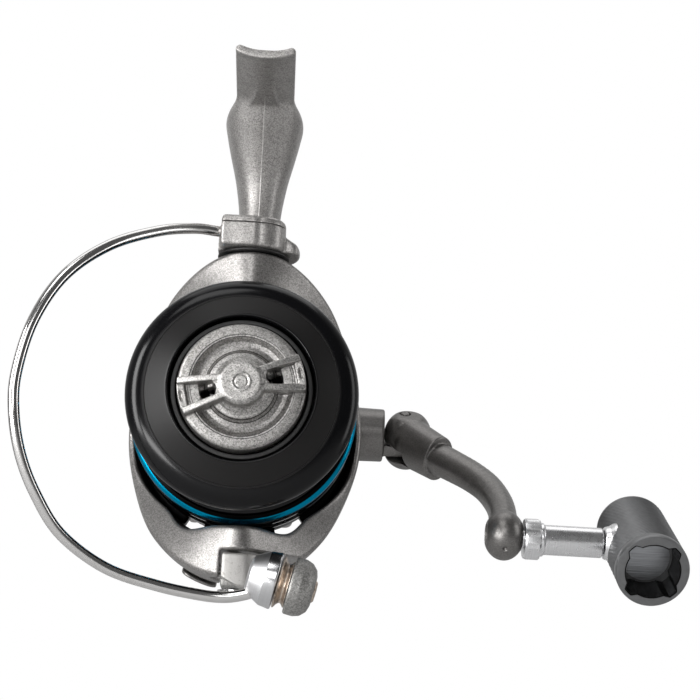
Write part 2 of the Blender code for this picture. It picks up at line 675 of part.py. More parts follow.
def build_case():
    """The case holds the gears; its stem and foot are cast in one piece with it."""
    body = add("body_housing", case_prism(0.0, CASE_LEFT, CASE_RIGHT), "silver_paint", "body")
    bevel = body.modifiers.new("edge", "BEVEL")
    bevel.width = 2.0 * MM
    bevel.segments = 2
    bevel.limit_method = "ANGLE"
    bevel.angle_limit = math.radians(50)
    stem_sections = (
        (70.0, 14.0, 9.0, 14.0), (68.6, 25.0, 8.4, 13.6), (65.0, 32.5, 6.9, 10.8),
        (56.5, 43.0, 5.2, 8.8), (50.5, 53.0, 5.2, 8.0), (47.5, 61.0, 6.0, 8.4),
        (45.6, 68.0, 7.6, 10.0), (44.5, 73.0, 8.8, 12.0), (43.0, 76.0, 7.0, 14.0),
        (42.5, 78.0, 5.0, 14.5),
    )
    stem = lofted([rounded_section(*section) for section in stem_sections])
    combine(body, stem, "UNION", "body")
    combine(body, foot_plate(), "UNION", "body")
    collar_outline = [(0, 45.6), (18.0, 45.6), (18.6, 46.2), (18.6, 58.0), (0, 62.0)]
    collar = turned(collar_outline, on_spool_axis(), 32)
    combine(body, collar, "UNION", "body")
    cavity = case_prism(CASE_WALL, CASE_LEFT - 8.0, CASE_RIGHT - CASE_WALL)
    combine(body, cavity, "DIFFERENCE", "body")
    front = [(0, 40.0), (16.2, 40.0), (16.2, 50.2), (9.2, 50.2), (9.2, 54.6), (5.2, 54.6),
             (5.2, 70.0), (0, 70.0)]
    combine(body, turned(front, on_spool_axis(), 28), "DIFFERENCE", "body")
    drive = on_drive_axis()
    boss = [(0, 10.6), (9.0, 10.6), (9.0, 15.4), (8.4, 16.0), (0, 16.0)]
    combine(body, turned(boss, drive, 24), "UNION", "body")
    bearing_seat = turned([(0, 5.0), (6.4, 5.0), (6.4, 15.0), (5.0, 15.0), (5.0, 18.0), (0, 18.0)],
                          drive, 24)
    combine(body, bearing_seat, "DIFFERENCE", "body")

    side_face = frame((0, 0, 0), X_AXIS, Y_AXIS)
    cover = add("side_cover", prism(case_outline(), side_face, CASE_LEFT - 3.4, CASE_LEFT - 0.3),
                "silver_paint", "body")
    cover_bevel = cover.modifiers.new("edge", "BEVEL")
    cover_bevel.width = 1.2 * MM
    cover_bevel.segments = 1
    cover_bevel.limit_method = "ANGLE"
    cover_bevel.angle_limit = math.radians(50)
    boss_outline = [(0, -17.4), (9.0, -17.4), (9.6, -16.8), (9.6, -12.0), (0, -12.0)]
    boss = turned(boss_outline, on_drive_axis(), 24)
    combine(cover, boss, "UNION", "body")
    seat = turned([(0, -16.2), (6.4, -16.2), (6.4, -8.0), (0, -8.0)], on_drive_axis(), 24)
    combine(cover, seat, "DIFFERENCE", "body")
    through = turned([(0, -20.0), (4.4, -20.0), (4.4, -8.0), (0, -8.0)], on_drive_axis(), 18)
    combine(cover, through, "DIFFERENCE", "body")

    collar_room = [(0, 45.0), (18.9, 45.0), (18.9, 58.4), (0, 62.4)]
    combine(cover, turned(collar_room, on_spool_axis(), 30), "DIFFERENCE", "body")

    screw_points = ((DRIVE_Y - 8.0, DRIVE_Z + 16.3), (DRIVE_Y - 8.0, DRIVE_Z - 16.3), (103.6, 0.0))
    for number, (y, z) in enumerate(screw_points, 1):
        place = frame((CASE_LEFT - 3.7, y, z), X_AXIS, Y_AXIS)
        head = [(0, -1.1), (1.4, -1.1), (1.9, -0.6), (1.9, 0), (0, 0)]
        add("cover_screw_" + str(number), turned(head, place, 14), "steel", "body")

    loops = []
    for half_height, y, half_width in ((9.9, 106.7, 10.4), (8.7, 109.4, 9.0), (5.6, 111.4, 6.0)):
        loops.append([Vector((half_width * x, y, half_height * z)) for x, z in circle(1, 24)])
    add("rear_cover", lofted(loops), "gunmetal", "body")


def build_case_fittings():
    """Bearings, clutch, rods and the screwed cap that stay with the case."""
    axis = on_spool_axis()
    clutch = [(5.6, 46.6), (5.6, 49.8), (15.9, 49.8), (15.9, 46.6)]
    retainer = [(5.6, 44.3), (15.9, 44.3), (15.9, 45.2), (5.6, 45.2)]
    pinion_bearing = [(3.7, 50.6), (8.9, 50.6), (8.9, 54.2), (3.7, 54.2)]
    add("one_way_clutch", turned(clutch, axis, 24), "zinc", "body")
    add("clutch_retainer", turned(retainer, axis, 24), "steel", "body")
    add("pinion_bearing", turned(pinion_bearing, axis, 20), "steel", "body")
    drive = on_drive_axis()
    right = [(3.9, 11.4), (6.1, 11.4), (6.1, 14.7), (3.9, 14.7)]
    left = [(3.9, -15.9), (6.1, -15.9), (6.1, -12.6), (3.9, -12.6)]
    add("handle_side_bearing", turned(right, drive, 20), "steel", "body")
    add("cover_side_bearing", turned(left, drive, 20), "steel", "body")
    cap = [
        (0, -21.4), (5.4, -21.4), (6.4, -20.6), (6.8, -17.8), (4.4, -17.8), (4.4, -19.4),
        (0, -19.4),
    ]
    add("shaft_cap", turned(cap, drive, 24), "gunmetal", "body")
    stud = [(0, 6.2), (1.1, 6.2), (1.1, 8.8), (2.6, 8.8), (2.6, 10.0), (0, 10.0)]
    place = frame(OSCILLATION_CENTRE, X_AXIS, Y_AXIS)
    add("oscillation_stud", turned(stud, place, 14), "steel", "body")
    for name, z in (("guide_rod_upper", ROD_Z), ("guide_rod_lower", -ROD_Z)):
        rod = [(0, 77.2), (0.75, 77.2), (0.75, 99.3), (0, 99.3)]
        add(name, turned(rod, frame((ROD_X, 0, z), Y_AXIS, X_AXIS), 12), "steel", "body")


def build_lever():
    """The anti-reverse lever tilts under the back of the case."""
    hub = turned([(0, -3.6), (2.2, -3.6), (2.2, 3.6), (0, 3.6)],
                 frame(LEVER_CENTRE, X_AXIS, Y_AXIS), 20)
    lever = add("anti_reverse_lever", hub, "gloss_black", "lever")
    loops = []
    for half_width, y, high, low in ((2.6, 0.0, 1.2, -1.2), (3.4, 10.0, -0.6, -2.4)):
        corners = ((-half_width, high), (half_width, high), (half_width, low), (-half_width, low))
        loops.append([LEVER_CENTRE + Vector((x, y, z)) for x, z in corners])
    combine(lever, lofted(loops), "UNION", "lever")


# ---------------------------------------------------------------- drive train


def build_drive_gear():
    """A face gear on its shaft, with the small gear that turns the oscillation gear."""
    drive = on_drive_axis()
    shaft = turned([(0, -16.8), (3.6, -16.8), (3.6, 16.8), (0, 16.8)], drive, 18)
    gear = add("drive_gear", shaft, "zinc", "drive")
    sides = DRIVE_TEETH * 2
    disc = bmesh.new()
    rings = []
    tooth_inner, tooth_outer = 13.4, 17.0
    for radius, x, rises in (
        (3.2, -8.0, 0), (tooth_outer, -8.0, 0), (tooth_outer, GEAR_FACE_X - 1.2, 1),
        (tooth_inner, GEAR_FACE_X - 1.2, 1), (tooth_inner, -6.6, 0), (3.2, -6.6, 0),
    ):
        ring = []
        for i in range(sides):
            turn = math.tau * (i + 0.5) / sides
            lift = 1.2 if rises and i % 2 else 0.0
            point = Vector((radius * math.cos(turn), radius * math.sin(turn), x + lift))
            ring.append(disc.verts.new(drive @ point))
        rings.append(ring)
    for first, second in zip(rings, rings[1:] + rings[:1]):
        bridge(disc, first, second)
    combine(gear, disc, "UNION", "drive")
    small = hollow_prism(gear_outline(TRANSFER_TEETH, 5.0, 6.0), circle(3.0, 20), drive, 6.4, 8.6)
    combine(gear, small, "UNION", "drive")


def build_oscillation_gear():
    """Driven by the small gear, it works the slider with its crank pin."""
    place = frame(OSCILLATION_CENTRE, X_AXIS, Y_AXIS)
    teeth = gear_outline(OSCILLATION_TEETH, 7.7, 8.7)
    wheel = hollow_prism(teeth, circle(1.4, 32), place, 6.6, 8.4)
    gear = add("oscillation_gear", wheel, "brass", "oscillation")
    pin_place = place @ Matrix.Translation((0, CRANK_PIN_RADIUS, 0))
    pin = turned([(0, 5.5), (1.3, 5.5), (1.3, 7.2), (0, 7.2)], pin_place, 14)
    combine(gear, pin, "UNION", "oscillation")


# ---------------------------------------------------------------- handle


def in_crank_plane(x, along, up=0.0):
    return DRIVE_CENTRE + X_AXIS * x + CRANK_DIR * along + FOLD_AXIS * up


def build_handle():
    """The shank screws into the drive gear; the arm folds about the pin in the shank's tongue."""
    drive = on_drive_axis()
    shank_profile = [(0, 17.3), (6.3, 17.3), (6.9, 18.2), (6.5, 31.6), (6.1, 32.0), (0, 32.0)]
    shank = add("handle_shank", turned(shank_profile, drive, 28), "gunmetal", "drive")
    tongue_plane = frame(in_crank_plane(FOLD_X, 0), FOLD_AXIS, X_AXIS)
    tongue = [(-7.6, -3.2)] + [
        (3.2 * math.sin(math.pi * i / 8), -3.2 * math.cos(math.pi * i / 8)) for i in range(9)
    ] + [(-7.6, 3.2)]
    combine(shank, prism(tongue, tongue_plane, -4.4, -1.3), "UNION", "drive")
    pin_bore = turned([(0, -8), (1.5, -8), (1.5, 3), (0, 3)], tongue_plane, 16)
    combine(shank, pin_bore, "DIFFERENCE", "drive")
    pin = [(0, -8.4), (1.1, -8.4), (1.1, 7.9), (0, 7.9)]
    add("fold_pin", turned(pin, tongue_plane, 16), "steel", "arm")

    upper = [(0, 7.6), (3.4, 7.4), (5.0, 6.0), (6.0, 3.4), (6.2, 1.0), (5.8, -1.0), (0, -1.0)]
    arm = add("handle_arm", turned(upper, tongue_plane, 18), "gunmetal", "arm")
    lower = [(0, -4.7), (5.6, -4.7), (5.8, -5.6), (4.6, -7.6), (2.6, -8.1), (0, -8.1)]
    combine(arm, turned(lower, tongue_plane, 18), "UNION", "arm")
    route = [
        in_crank_plane(40.2, 2.4), in_crank_plane(42.4, 5.8), in_crank_plane(44.6, 9.2),
        in_crank_plane(47.0, 12.4), in_crank_plane(50.4, 16.4), in_crank_plane(54.4, 21.6), in_crank_plane(57.6, 27.6),
        in_crank_plane(59.4, 34.5), in_crank_plane(60.0, 41.0), in_crank_plane(59.6, 49.5),
    ]
    path = smooth_path(route, 2)
    sizes = []
    for i in range(len(path)):
        width = 3.1 + 1.3 * max(0.0, 1 - i / 14)
        flare = min(1.0, max(0.0, (8 - i) / 6))
        sizes.append((width, width + 3.4 * flare ** 1.5))
    tube = swept(path, sizes, 10, FOLD_AXIS)
    combine(arm, tube, "UNION", "arm")
    ball = []
    for i in range(7):
        turn = math.pi * i / 6
        ball.append((5.6 * math.sin(turn), 4.4 * math.cos(turn)))
    ball[0] = (0, 4.4)
    ball[-1] = (0, -4.4)
    combine(arm, turned(ball, frame(in_crank_plane(CRANK_X, CRANK_LENGTH), X_AXIS, CRANK_DIR), 18),
            "UNION", "arm")
    gap = prism([(-12, -4.2), (3.9, -4.2), (3.9, 12), (-12, 12)], tongue_plane, -4.7, -1.0)
    combine(arm, gap, "DIFFERENCE", "arm")
    arm_bore = turned([(0, -12), (1.4, -12), (1.4, 12), (0, 12)], tongue_plane, 16)
    combine(arm, arm_bore, "DIFFERENCE", "arm")
    spindle_bore = turned([(0, -6), (2.3, -6), (2.3, 6), (0, 6)],
                          frame(in_crank_plane(CRANK_X, CRANK_LENGTH), X_AXIS, CRANK_DIR), 20)
    combine(arm, spindle_bore, "DIFFERENCE", "arm")

    along = frame(SPINDLE_POINT, X_AXIS, CRANK_DIR)
    spindle = [(0, 56.0), (2.0, 56.0), (2.0, 67.9), (2.6, 67.9), (2.6, 68.8), (3.4, 69.2),
               (3.4, 81.0), (2.6, 81.3), (2.6, 81.7), (1.6, 81.9), (1.6, 93.6), (0, 93.6)]
    add("knob_spindle", turned(spindle, along, 16), "bright_aluminium", "arm")
    nut = [(2.3, 64.2), (4.4, 64.2), (4.8, 64.7), (4.8, 67.2), (4.4, 67.6), (2.3, 67.6)]
    add("spindle_nut", turned(nut, along, 8), "bright_aluminium", "arm")

    grip_axis = frame(SPINDLE_POINT + X_AXIS * (KNOB_X + 0.3), KNOB_AXIS, X_AXIS)
    half = KNOB_LENGTH / 2
    grip_profile = [
        (0, -half + 1.2), (6.0, -half + 1.2), (6.2, -half), (7.6, -half), (KNOB_RADIUS, -half + 0.6),
        (KNOB_RADIUS, half - 0.6), (7.7, half), (6.6, half), (6.3, half - 0.5), (6.3, 5.2), (0, 5.2),
    ]
    grip = add("handle_knob", turned(grip_profile, grip_axis, 28), "knurled_grey", "grip")
    flange = turned([(0, 82.6), (4.6, 82.6), (4.6, 84.4), (0, 84.4)], along, 24)
    combine(grip, flange, "UNION", "grip")
    socket = turned([(0, 78.0), (1.9, 78.0), (1.9, 94.2), (0, 94.2)], along, 18)
    combine(grip, socket, "DIFFERENCE", "grip")


def main():
    clear_scene()
    make_empties()
    build_spool()
    build_main_shaft()
    build_slider()
    build_drag_knob()
    build_rotor()
    build_bail()
    build_case()
    build_case_fittings()
    build_lever()
    build_drive_gear()
    build_oscillation_gear()
    build_handle()


main()
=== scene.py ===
"""Looks of the spinning reel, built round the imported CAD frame.

Shapes are worked out in millimetres on the spool axis (X to the handle, Y to the rear, Z to the
foot, Y = 0 at the front lip) and are moved to the frame's metres when a piece is made.
"""

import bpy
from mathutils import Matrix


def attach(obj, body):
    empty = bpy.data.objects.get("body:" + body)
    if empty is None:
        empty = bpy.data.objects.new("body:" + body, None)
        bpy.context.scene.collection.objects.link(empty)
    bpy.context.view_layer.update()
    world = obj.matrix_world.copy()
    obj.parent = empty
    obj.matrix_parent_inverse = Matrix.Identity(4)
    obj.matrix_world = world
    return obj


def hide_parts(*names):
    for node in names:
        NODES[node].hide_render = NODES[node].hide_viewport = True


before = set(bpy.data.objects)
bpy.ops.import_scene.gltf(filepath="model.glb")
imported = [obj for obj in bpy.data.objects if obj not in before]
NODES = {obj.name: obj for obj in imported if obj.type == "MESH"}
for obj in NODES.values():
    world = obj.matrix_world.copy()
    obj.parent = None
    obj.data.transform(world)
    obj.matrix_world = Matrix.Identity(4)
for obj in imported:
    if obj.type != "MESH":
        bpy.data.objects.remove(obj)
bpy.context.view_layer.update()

import math

import bmesh
import bpy
import numpy as np
from mathutils import Matrix, Vector

MM = 0.001
SEAT = np.array((0.0, 41.0, 80.0))

X_AXIS, Y_AXIS, Z_AXIS = Vector((1, 0, 0)), Vector((0, 1, 0)), Vector((0, 0, 1))
DRIVE = Vector((0, 73.0, 6.5))
CRANK_ANGLE = math.radians(34)
CRANK_DIR = Vector((0, -math.cos(CRANK_ANGLE), -math.sin(CRANK_ANGLE)))
FOLD_AXIS = Vector((0, -math.sin(CRANK_ANGLE), math.cos(CRANK_ANGLE)))
FOLD_X = 38.8
CRANK_X = 59.4
CRANK_LENGTH = 52.2
SPINDLE = DRIVE + CRANK_DIR * CRANK_LENGTH
KNOB_X = 90.0
KNOB_ANGLE = math.radians(27)
KNOB_AXIS = Vector((0, -math.cos(KNOB_ANGLE), -math.sin(KNOB_ANGLE)))
ROLLER_CENTRE = Vector((11.1, 8.5, -38.2))
ROLLER_AXIS = Vector((math.cos(math.radians(13)), 0, -math.sin(math.radians(13))))
BAIL_Y = 20.0
ROTOR_REAR = 53.5


# ---- materials


def map_range(tree, value, source, target):
    """Map a value from the range source to the range target, in a node tree."""
    made = tree.nodes.new("ShaderNodeMapRange")
    for side, limits in (("From", source), ("To", target)):
        made.inputs[side + " Min"].default_value = limits[0]
        made.inputs[side + " Max"].default_value = limits[1]
    tree.links.new(value, made.inputs["Value"])
    return made.outputs["Result"]


class Surface:
    """A Principled material with helpers for procedural detail, measured in millimetres."""

    def __init__(self, name, colour, roughness, metallic=0.0):
        self.name = name
        self.material = bpy.data.materials.new(name)
        self.material.use_nodes = True
        self.tree = self.material.node_tree
        self.shader = self.tree.nodes["Principled BSDF"]
        self.shader.inputs["Base Color"].default_value = (*colour, 1)
        self.shader.inputs["Roughness"].default_value = roughness
        self.shader.inputs["Metallic"].default_value = metallic
        place = self.node("ShaderNodeTexCoord")
        scale = self.node("ShaderNodeVectorMath", operation="SCALE")
        scale.inputs["Scale"].default_value = 1 / MM
        self.link(place.outputs["Object"], scale.inputs[0])
        shift = self.node("ShaderNodeVectorMath", operation="ADD")
        shift.inputs[1].default_value = SEAT
        self.link(scale.outputs[0], shift.inputs[0])
        self.point = shift.outputs[0]
        self.normal = None
        self.turning = None

    def node(self, kind, **settings):
        made = self.tree.nodes.new(kind)
        for key, value in settings.items():
            setattr(made, key, value)
        return made

    def link(self, output, socket):
        self.tree.links.new(output, socket)

    def math(self, operation, first, second=None, third=None):
        made = self.node("ShaderNodeMath", operation=operation)
        for socket, value in zip(made.inputs, (first, second, third)):
            if value is None:
                continue
            if isinstance(value, (int, float)):
                socket.default_value = value
            else:
                self.link(value, socket)
        return made.outputs[0]

    def times(self, first, second):
        return self.math("MULTIPLY", first, second)

    def stretched(self, scale):
        made = self.node("ShaderNodeVectorMath", operation="MULTIPLY")
        made.inputs[1].default_value = scale
        self.link(self.point, made.inputs[0])
        return made.outputs[0]

    def noise(self, scale, detail=2.0, stretch=None, roughness=0.5):
        made = self.node("ShaderNodeTexNoise")
        made.inputs["Scale"].default_value = scale
        made.inputs["Detail"].default_value = detail
        made.inputs["Roughness"].default_value = roughness
        self.link(self.stretched(stretch) if stretch else self.point, made.inputs["Vector"])
        return made.outputs["Fac"]

    def cells(self, scale):
        """Return a random value for each small cell, for metal flakes."""
        made = self.node("ShaderNodeTexVoronoi")
        made.inputs["Scale"].default_value = scale
        self.link(self.point, made.inputs["Vector"])
        parts = self.node("ShaderNodeSeparateColor")
        self.link(made.outputs["Color"], parts.inputs[0])
        return parts.outputs[0]

    def ramp(self, value, low, high, from_low=0.0, from_high=1.0):
        return map_range(self.tree, value, (from_low, from_high), (low, high))

    def axis(self, name):
        parts = self.node("ShaderNodeSeparateXYZ")
        self.link(self.point, parts.inputs[0])
        return parts.outputs[name]

    def radius(self):
        """Return the distance from the spool axis."""
        offsets = [self.axis(name) for name in "XZ"]
        squares = [self.times(offset, offset) for offset in offsets]
        return self.math("SQRT", self.math("ADD", *squares))

    def along(self, centre, direction):
        """Return the distance along a line through centre."""
        shifted = self.node("ShaderNodeVectorMath", operation="SUBTRACT")
        shifted.inputs[1].default_value = centre
        self.link(self.point, shifted.inputs[0])
        made = self.node("ShaderNodeVectorMath", operation="DOT_PRODUCT")
        made.inputs[1].default_value = direction
        self.link(shifted.outputs[0], made.inputs[0])
        return made.outputs["Value"]

    def band(self, value, low, high, soft=0.15):
        """Return 1 where value lies between low and high, with soft sides."""
        rise = self.ramp(value, 0, 1, low - soft, low + soft)
        fall = self.ramp(value, 1, 0, high - soft, high + soft)
        return self.times(rise, fall)

    def mixed(self, name, mask, **settings):
        """Put a mix before a shader socket and return the side that takes over with the mask."""
        mix = self.node("ShaderNodeMix", **settings)
        socket = self.shader.inputs[name]
        if socket.is_linked:
            self.link(socket.links[0].from_socket, mix.inputs["A"])
        else:
            mix.inputs["A"].default_value = socket.default_value
        if mask is None:
            mix.inputs["Factor"].default_value = 1.0
        else:
            self.link(mask, mix.inputs["Factor"])
        self.link(mix.outputs["Result"], socket)
        return mix.inputs["B"]

    def tint(self, mask, colour):
        """Mix the base colour towards another where the mask is high."""
        self.mixed("Base Color", mask, data_type="RGBA").default_value = (*colour, 1)

    def set_value(self, name, mask, value):
        """Mix a shader value towards another where the mask is high."""
        self.mixed(name, mask, data_type="FLOAT").default_value = value

    def shade(self, value, low, high):
        """Multiply the base colour by a value mapped to the range low to high."""
        factor = self.ramp(value, low, high)
        join = self.node("ShaderNodeCombineColor")
        for i in range(3):
            self.link(factor, join.inputs[i])
        side = self.mixed("Base Color", None, data_type="RGBA", blend_type="MULTIPLY")
        self.link(join.outputs[0], side)

    def rough(self, value, low, high):
        self.link(self.ramp(value, low, high), self.shader.inputs["Roughness"])

    def lines(self, value, scale):
        """Return a noise that changes only with value."""
        made = self.node("ShaderNodeTexNoise", noise_dimensions="1D")
        made.inputs["Scale"].default_value = scale
        made.inputs["Detail"].default_value = 3.0
        self.link(value, made.inputs["W"])
        return made.outputs["Fac"]

    def bump(self, value, depth):
        """Raise the surface by a value that spans 0 to 1 over depth millimetres."""
        made = self.node("ShaderNodeBump")
        made.inputs["Distance"].default_value = depth * MM
        made.inputs["Strength"].default_value = 1.0
        self.link(value, made.inputs["Height"])
        if self.normal:
            self.link(self.normal, made.inputs["Normal"])
        self.normal = made.outputs["Normal"]
        self.link(self.normal, self.shader.inputs["Normal"])

    def uneven(self, shade, bump, rough=None):
        """Vary brightness, height and roughness. Each gets a noise's scale and detail, then a range."""
        self.shade(self.noise(*shade[:2]), *shade[2:])
        if rough:
            self.rough(self.noise(*rough[:2]), *rough[2:])
        self.bump(self.noise(*bump[:2]), bump[2])
        return self


SILVER = (0.36, 0.348, 0.338)


def sparkle_paint(name, colour, flake, grain, roughness=0.42, depth=0.02, metallic=0.8):
    """Silver-grey paint with flakes of different brightness."""
    made = Surface(name, colour, roughness, metallic)
    made.shade(made.cells(flake), *grain)
    made.shade(made.noise(0.35, 3.0), 0.88, 1.12)
    made.rough(made.noise(1.2, 3.0), roughness - 0.07, roughness + 0.09)
    made.bump(made.noise(flake * 0.8, 2.0), depth)
    return made


def machined(name, colour, roughness, axis_value, pitch, depth=0.004):
    """Turned metal: fine lines follow a value that is constant round the part's axis."""
    made = Surface(name, colour, roughness, 1.0)
    made.turning = axis_value(made)
    lines = made.lines(made.turning, 1 / pitch)
    made.bump(lines, depth)
    made.shade(lines, 0.86, 1.1)
    made.rough(made.noise(0.8, 3.0), roughness * 0.8, roughness * 1.3)
    return made


def make_silver_paint():
    paint = sparkle_paint("silver_paint", SILVER, 5.2, (0.62, 1.38), 0.37)
    return paint


def make_rotor_paint():
    shell = sparkle_paint("rotor_paint", (0.285, 0.275, 0.267), 5.2, (0.62, 1.38), 0.37)
    # Painted shade: the rotor's inside, within 26 mm of the spool axis and more than 14 to 20 mm behind
    # the lip, is tinted near black where it lies in shadow.
    inside = shell.ramp(shell.radius(), 1, 0, 25.9, 26.3)
    shadow_depth = shell.ramp(shell.axis("Y"), 0, 1, 14.0, 20.0)
    shell.tint(shell.times(inside, shadow_depth), (0.012, 0.012, 0.012))
    return shell


def make_stem_paint():
    stem = sparkle_paint("stem_paint", SILVER, 5.2, (0.62, 1.38), 0.37)
    line = stem.band(stem.axis("X"), -0.14, 0.14, 0.07)
    front = stem.ramp(stem.axis("Y"), 1, 0, 44, 46)
    high = stem.band(stem.axis("Z"), 40.0, 75.5, 0.8)
    mask = stem.times(stem.times(line, front), high)
    stem.tint(stem.times(mask, 0.3), (0.75, 0.74, 0.72))
    stem.bump(mask, 0.04)
    return stem


def make_textured_grey():
    boss = sparkle_paint("textured_grey", (0.3, 0.295, 0.285), 4.4, (0.6, 1.35), 0.45, 0.06)
    beside = boss.ramp(boss.axis("X"), 1, 0, 7.6, 8.4)
    hub = boss.times(beside, boss.ramp(boss.axis("Z"), 0, 1, -39.6, -39.2))
    below = boss.math("MULTIPLY_ADD", boss.axis("X"), -0.45, -33.97)
    below = boss.math("MULTIPLY_ADD", boss.axis("Z"), -0.89, below)
    hub = boss.times(hub, boss.ramp(below, 1, 0, 0.0, 0.2))
    boss.tint(hub, (0.46, 0.45, 0.435))
    scuffs = boss.ramp(boss.noise(0.9, 4.0, roughness=0.7), 0, 0.6, 0.56, 0.66)
    boss.tint(boss.times(scuffs, hub), (0.24, 0.22, 0.2))
    return boss


def make_gunmetal():
    gun = Surface("gunmetal", (0.2, 0.193, 0.187), 0.35, 0.88)
    gun.shade(gun.cells(6.0), 0.8, 1.2)
    gun.shade(gun.noise(0.5, 4.0), 0.86, 1.14)
    gun.rough(gun.noise(1.5, 3.0), 0.3, 0.44)
    gun.bump(gun.noise(7.0, 2.0), 0.006)
    pits = gun.ramp(gun.noise(1.7, 1.0), 1, 0, 0.2, 0.24)
    gun.tint(gun.times(pits, 0.7), (0.03, 0.03, 0.03))
    return gun


def make_cast_silver():
    cast = Surface("cast_silver", (0.4, 0.39, 0.378), 0.36, 0.88)
    # Painted shade: the knob is tinted darker the lower its surface lies, from 7.6 down to 5.6 mm in
    # front of the spool.
    recess = cast.ramp(cast.axis("Y"), 0, 1, -7.6, -5.6)
    cast.tint(cast.times(recess, 0.35), (0.2, 0.19, 0.185))
    # Painted shade: thin near-black rings on the lower disc stand for the shadow in its fine grooves.
    from_axis = cast.radius()
    plate = cast.ramp(cast.axis("Y"), 0, 1, -7.5, -7.3)
    for ring in (7.05, 7.6, 10.5, 10.95):
        line = cast.band(from_axis, ring - 0.08, ring + 0.08, 0.05)
        groove = cast.times(cast.times(line, plate), 0.9)
        cast.tint(groove, (0.03, 0.029, 0.028))
    cast.shade(cast.cells(4.2), 0.5, 1.3)
    cast.shade(cast.noise(1.3, 4.0), 0.8, 1.2)
    cast.rough(cast.cells(3.1), 0.28, 0.5)
    cast.bump(cast.noise(4.5, 3.0), 0.05)
    return cast


def make_gloss_black():
    black = Surface("gloss_black", (0.0025, 0.0025, 0.003), 0.17)
    black.shader.inputs["Specular IOR Level"].default_value = 0.24
    radius = black.radius()
    depth = black.axis("Y")
    black.bump(black.lines(radius, 5.0), 0.002)
    matte = black.times(black.band(radius, 15.75, 20.5, 0.3),
                       black.ramp(depth, 1, 0, 0.0, 0.4))
    black.tint(matte, (0.007, 0.0065, 0.0065))
    black.set_value("Roughness", matte, 0.42)
    skirt = black.ramp(depth, 0, 1, 19.0, 19.2)
    outside = black.ramp(radius, 0, 1, 23.6, 23.8)
    skirt = black.times(skirt, outside)
    black.tint(skirt, (0.1, 0.105, 0.115))
    black.set_value("Metallic", skirt, 1.0)
    black.set_value("Roughness", skirt, 0.1)
    front_stripe = black.band(depth, 24.6, 24.85, 0.06)
    stripes = black.math("ADD", front_stripe, black.band(depth, 27.2, 27.5, 0.06))
    stripes = black.times(stripes, skirt)
    black.tint(stripes, (0.0, 0.2, 0.36))
    turn = black.math("ARCTAN2", black.axis("Z"), black.axis("X"))
    beads = black.math("COSINE", black.times(turn, 96.0))
    beads = black.ramp(beads, 0, 1, 0.1, 0.5)
    beads = black.times(beads, black.band(depth, 22.7, 23.3, 0.12))
    black.tint(black.times(beads, skirt), (0.5, 0.5, 0.5))
    return black


def make_blue_anodised():
    blue = machined("blue_anodised", (0.0, 0.235, 0.4), 0.24, lambda s: s.axis("Y"), 0.12)
    blue.tint(blue.ramp(blue.radius(), 1, 0, 23.95, 24.1), (0.003, 0.003, 0.003))
    return blue


def make_steel():
    return Surface("steel", (0.72, 0.71, 0.7), 0.14, 1.0).uneven(
        shade=(0.6, 3.0, 0.9, 1.08), rough=(1.0, 4.0, 0.1, 0.2), bump=(6.0, 2.0, 0.002))


def make_bright_aluminium():
    bright = machined("bright_aluminium", (0.84, 0.84, 0.85), 0.27, lambda s: s.axis("X"), 0.25, 0.0015)
    return bright


def make_cone_aluminium():
    cone = machined("cone_aluminium", (0.68, 0.68, 0.69), 0.24,
                    lambda s: s.along(ROLLER_CENTRE, ROLLER_AXIS), 0.2, 0.002)
    cone.rough(cone.ramp(cone.turning, 1, 0, -4.2, -4.1), 0.2, 0.38)
    return cone


def make_champagne():
    roller = machined("champagne", (0.62, 0.53, 0.45), 0.3,
                      lambda s: s.along(ROLLER_CENTRE, ROLLER_AXIS), 0.2, 0.006)
    wear = roller.ramp(roller.noise(1.1, 5.0, roughness=0.75), 0, 1, 0.5, 0.62)
    roller.tint(roller.times(wear, 0.8), (0.2, 0.155, 0.12))
    return roller


def make_knurled_grey():
    return Surface("knurled_grey", (0.185, 0.187, 0.19), 0.36, 0.85).uneven(
        shade=(0.8, 3.0, 0.85, 1.15), rough=(2.0, 3.0, 0.3, 0.45), bump=(8.0, 2.0, 0.006))


def make_hollow_shade_black():
    # Painted shade: a near-black surface for the inside of the knob's hollow end, where shadow falls.
    bore = Surface("hollow_shade_black", (0.003, 0.003, 0.003), 0.45)
    bore.shader.inputs["Specular IOR Level"].default_value = 0.12
    return bore.uneven(
        shade=(1.5, 3.0, 0.6, 1.6), rough=(1.0, 3.0, 0.35, 0.5), bump=(3.0, 2.0, 0.01))


def make_knob_floor():
    floor = machined("knob_floor", (0.42, 0.43, 0.45), 0.34,
                     lambda s: s.along(SPINDLE, Z_AXIS), 0.3, 0.03)
    floor.shade(floor.noise(1.0, 4.0, (0.12, 0.12, 5.0)), 0.35, 1.5)
    return floor


def make_brass():
    brass = machined("brass", (0.6, 0.42, 0.16), 0.3, lambda s: s.axis("Y"), 0.2)
    return brass


def make_zinc():
    zinc = sparkle_paint("zinc", (0.42, 0.42, 0.41), 3.0, (0.85, 1.1), 0.42, 0.02, 0.9)
    return zinc


def make_fibre():
    return Surface("fibre", (0.1, 0.085, 0.07), 0.9).uneven(
        shade=(3.0, 4.0, 0.7, 1.3), bump=(4.0, 3.0, 0.05))


def make_rubber():
    return Surface("rubber", (0.008, 0.008, 0.008), 0.45).uneven(
        shade=(2.5, 3.0, 0.7, 1.6), rough=(2.0, 3.0, 0.35, 0.6), bump=(3.0, 3.0, 0.03))


def make_moulded_black():
    return Surface("moulded_black", (0.015, 0.015, 0.016), 0.4).uneven(
        shade=(1.5, 3.0, 0.8, 1.3), bump=(5.0, 2.0, 0.015))


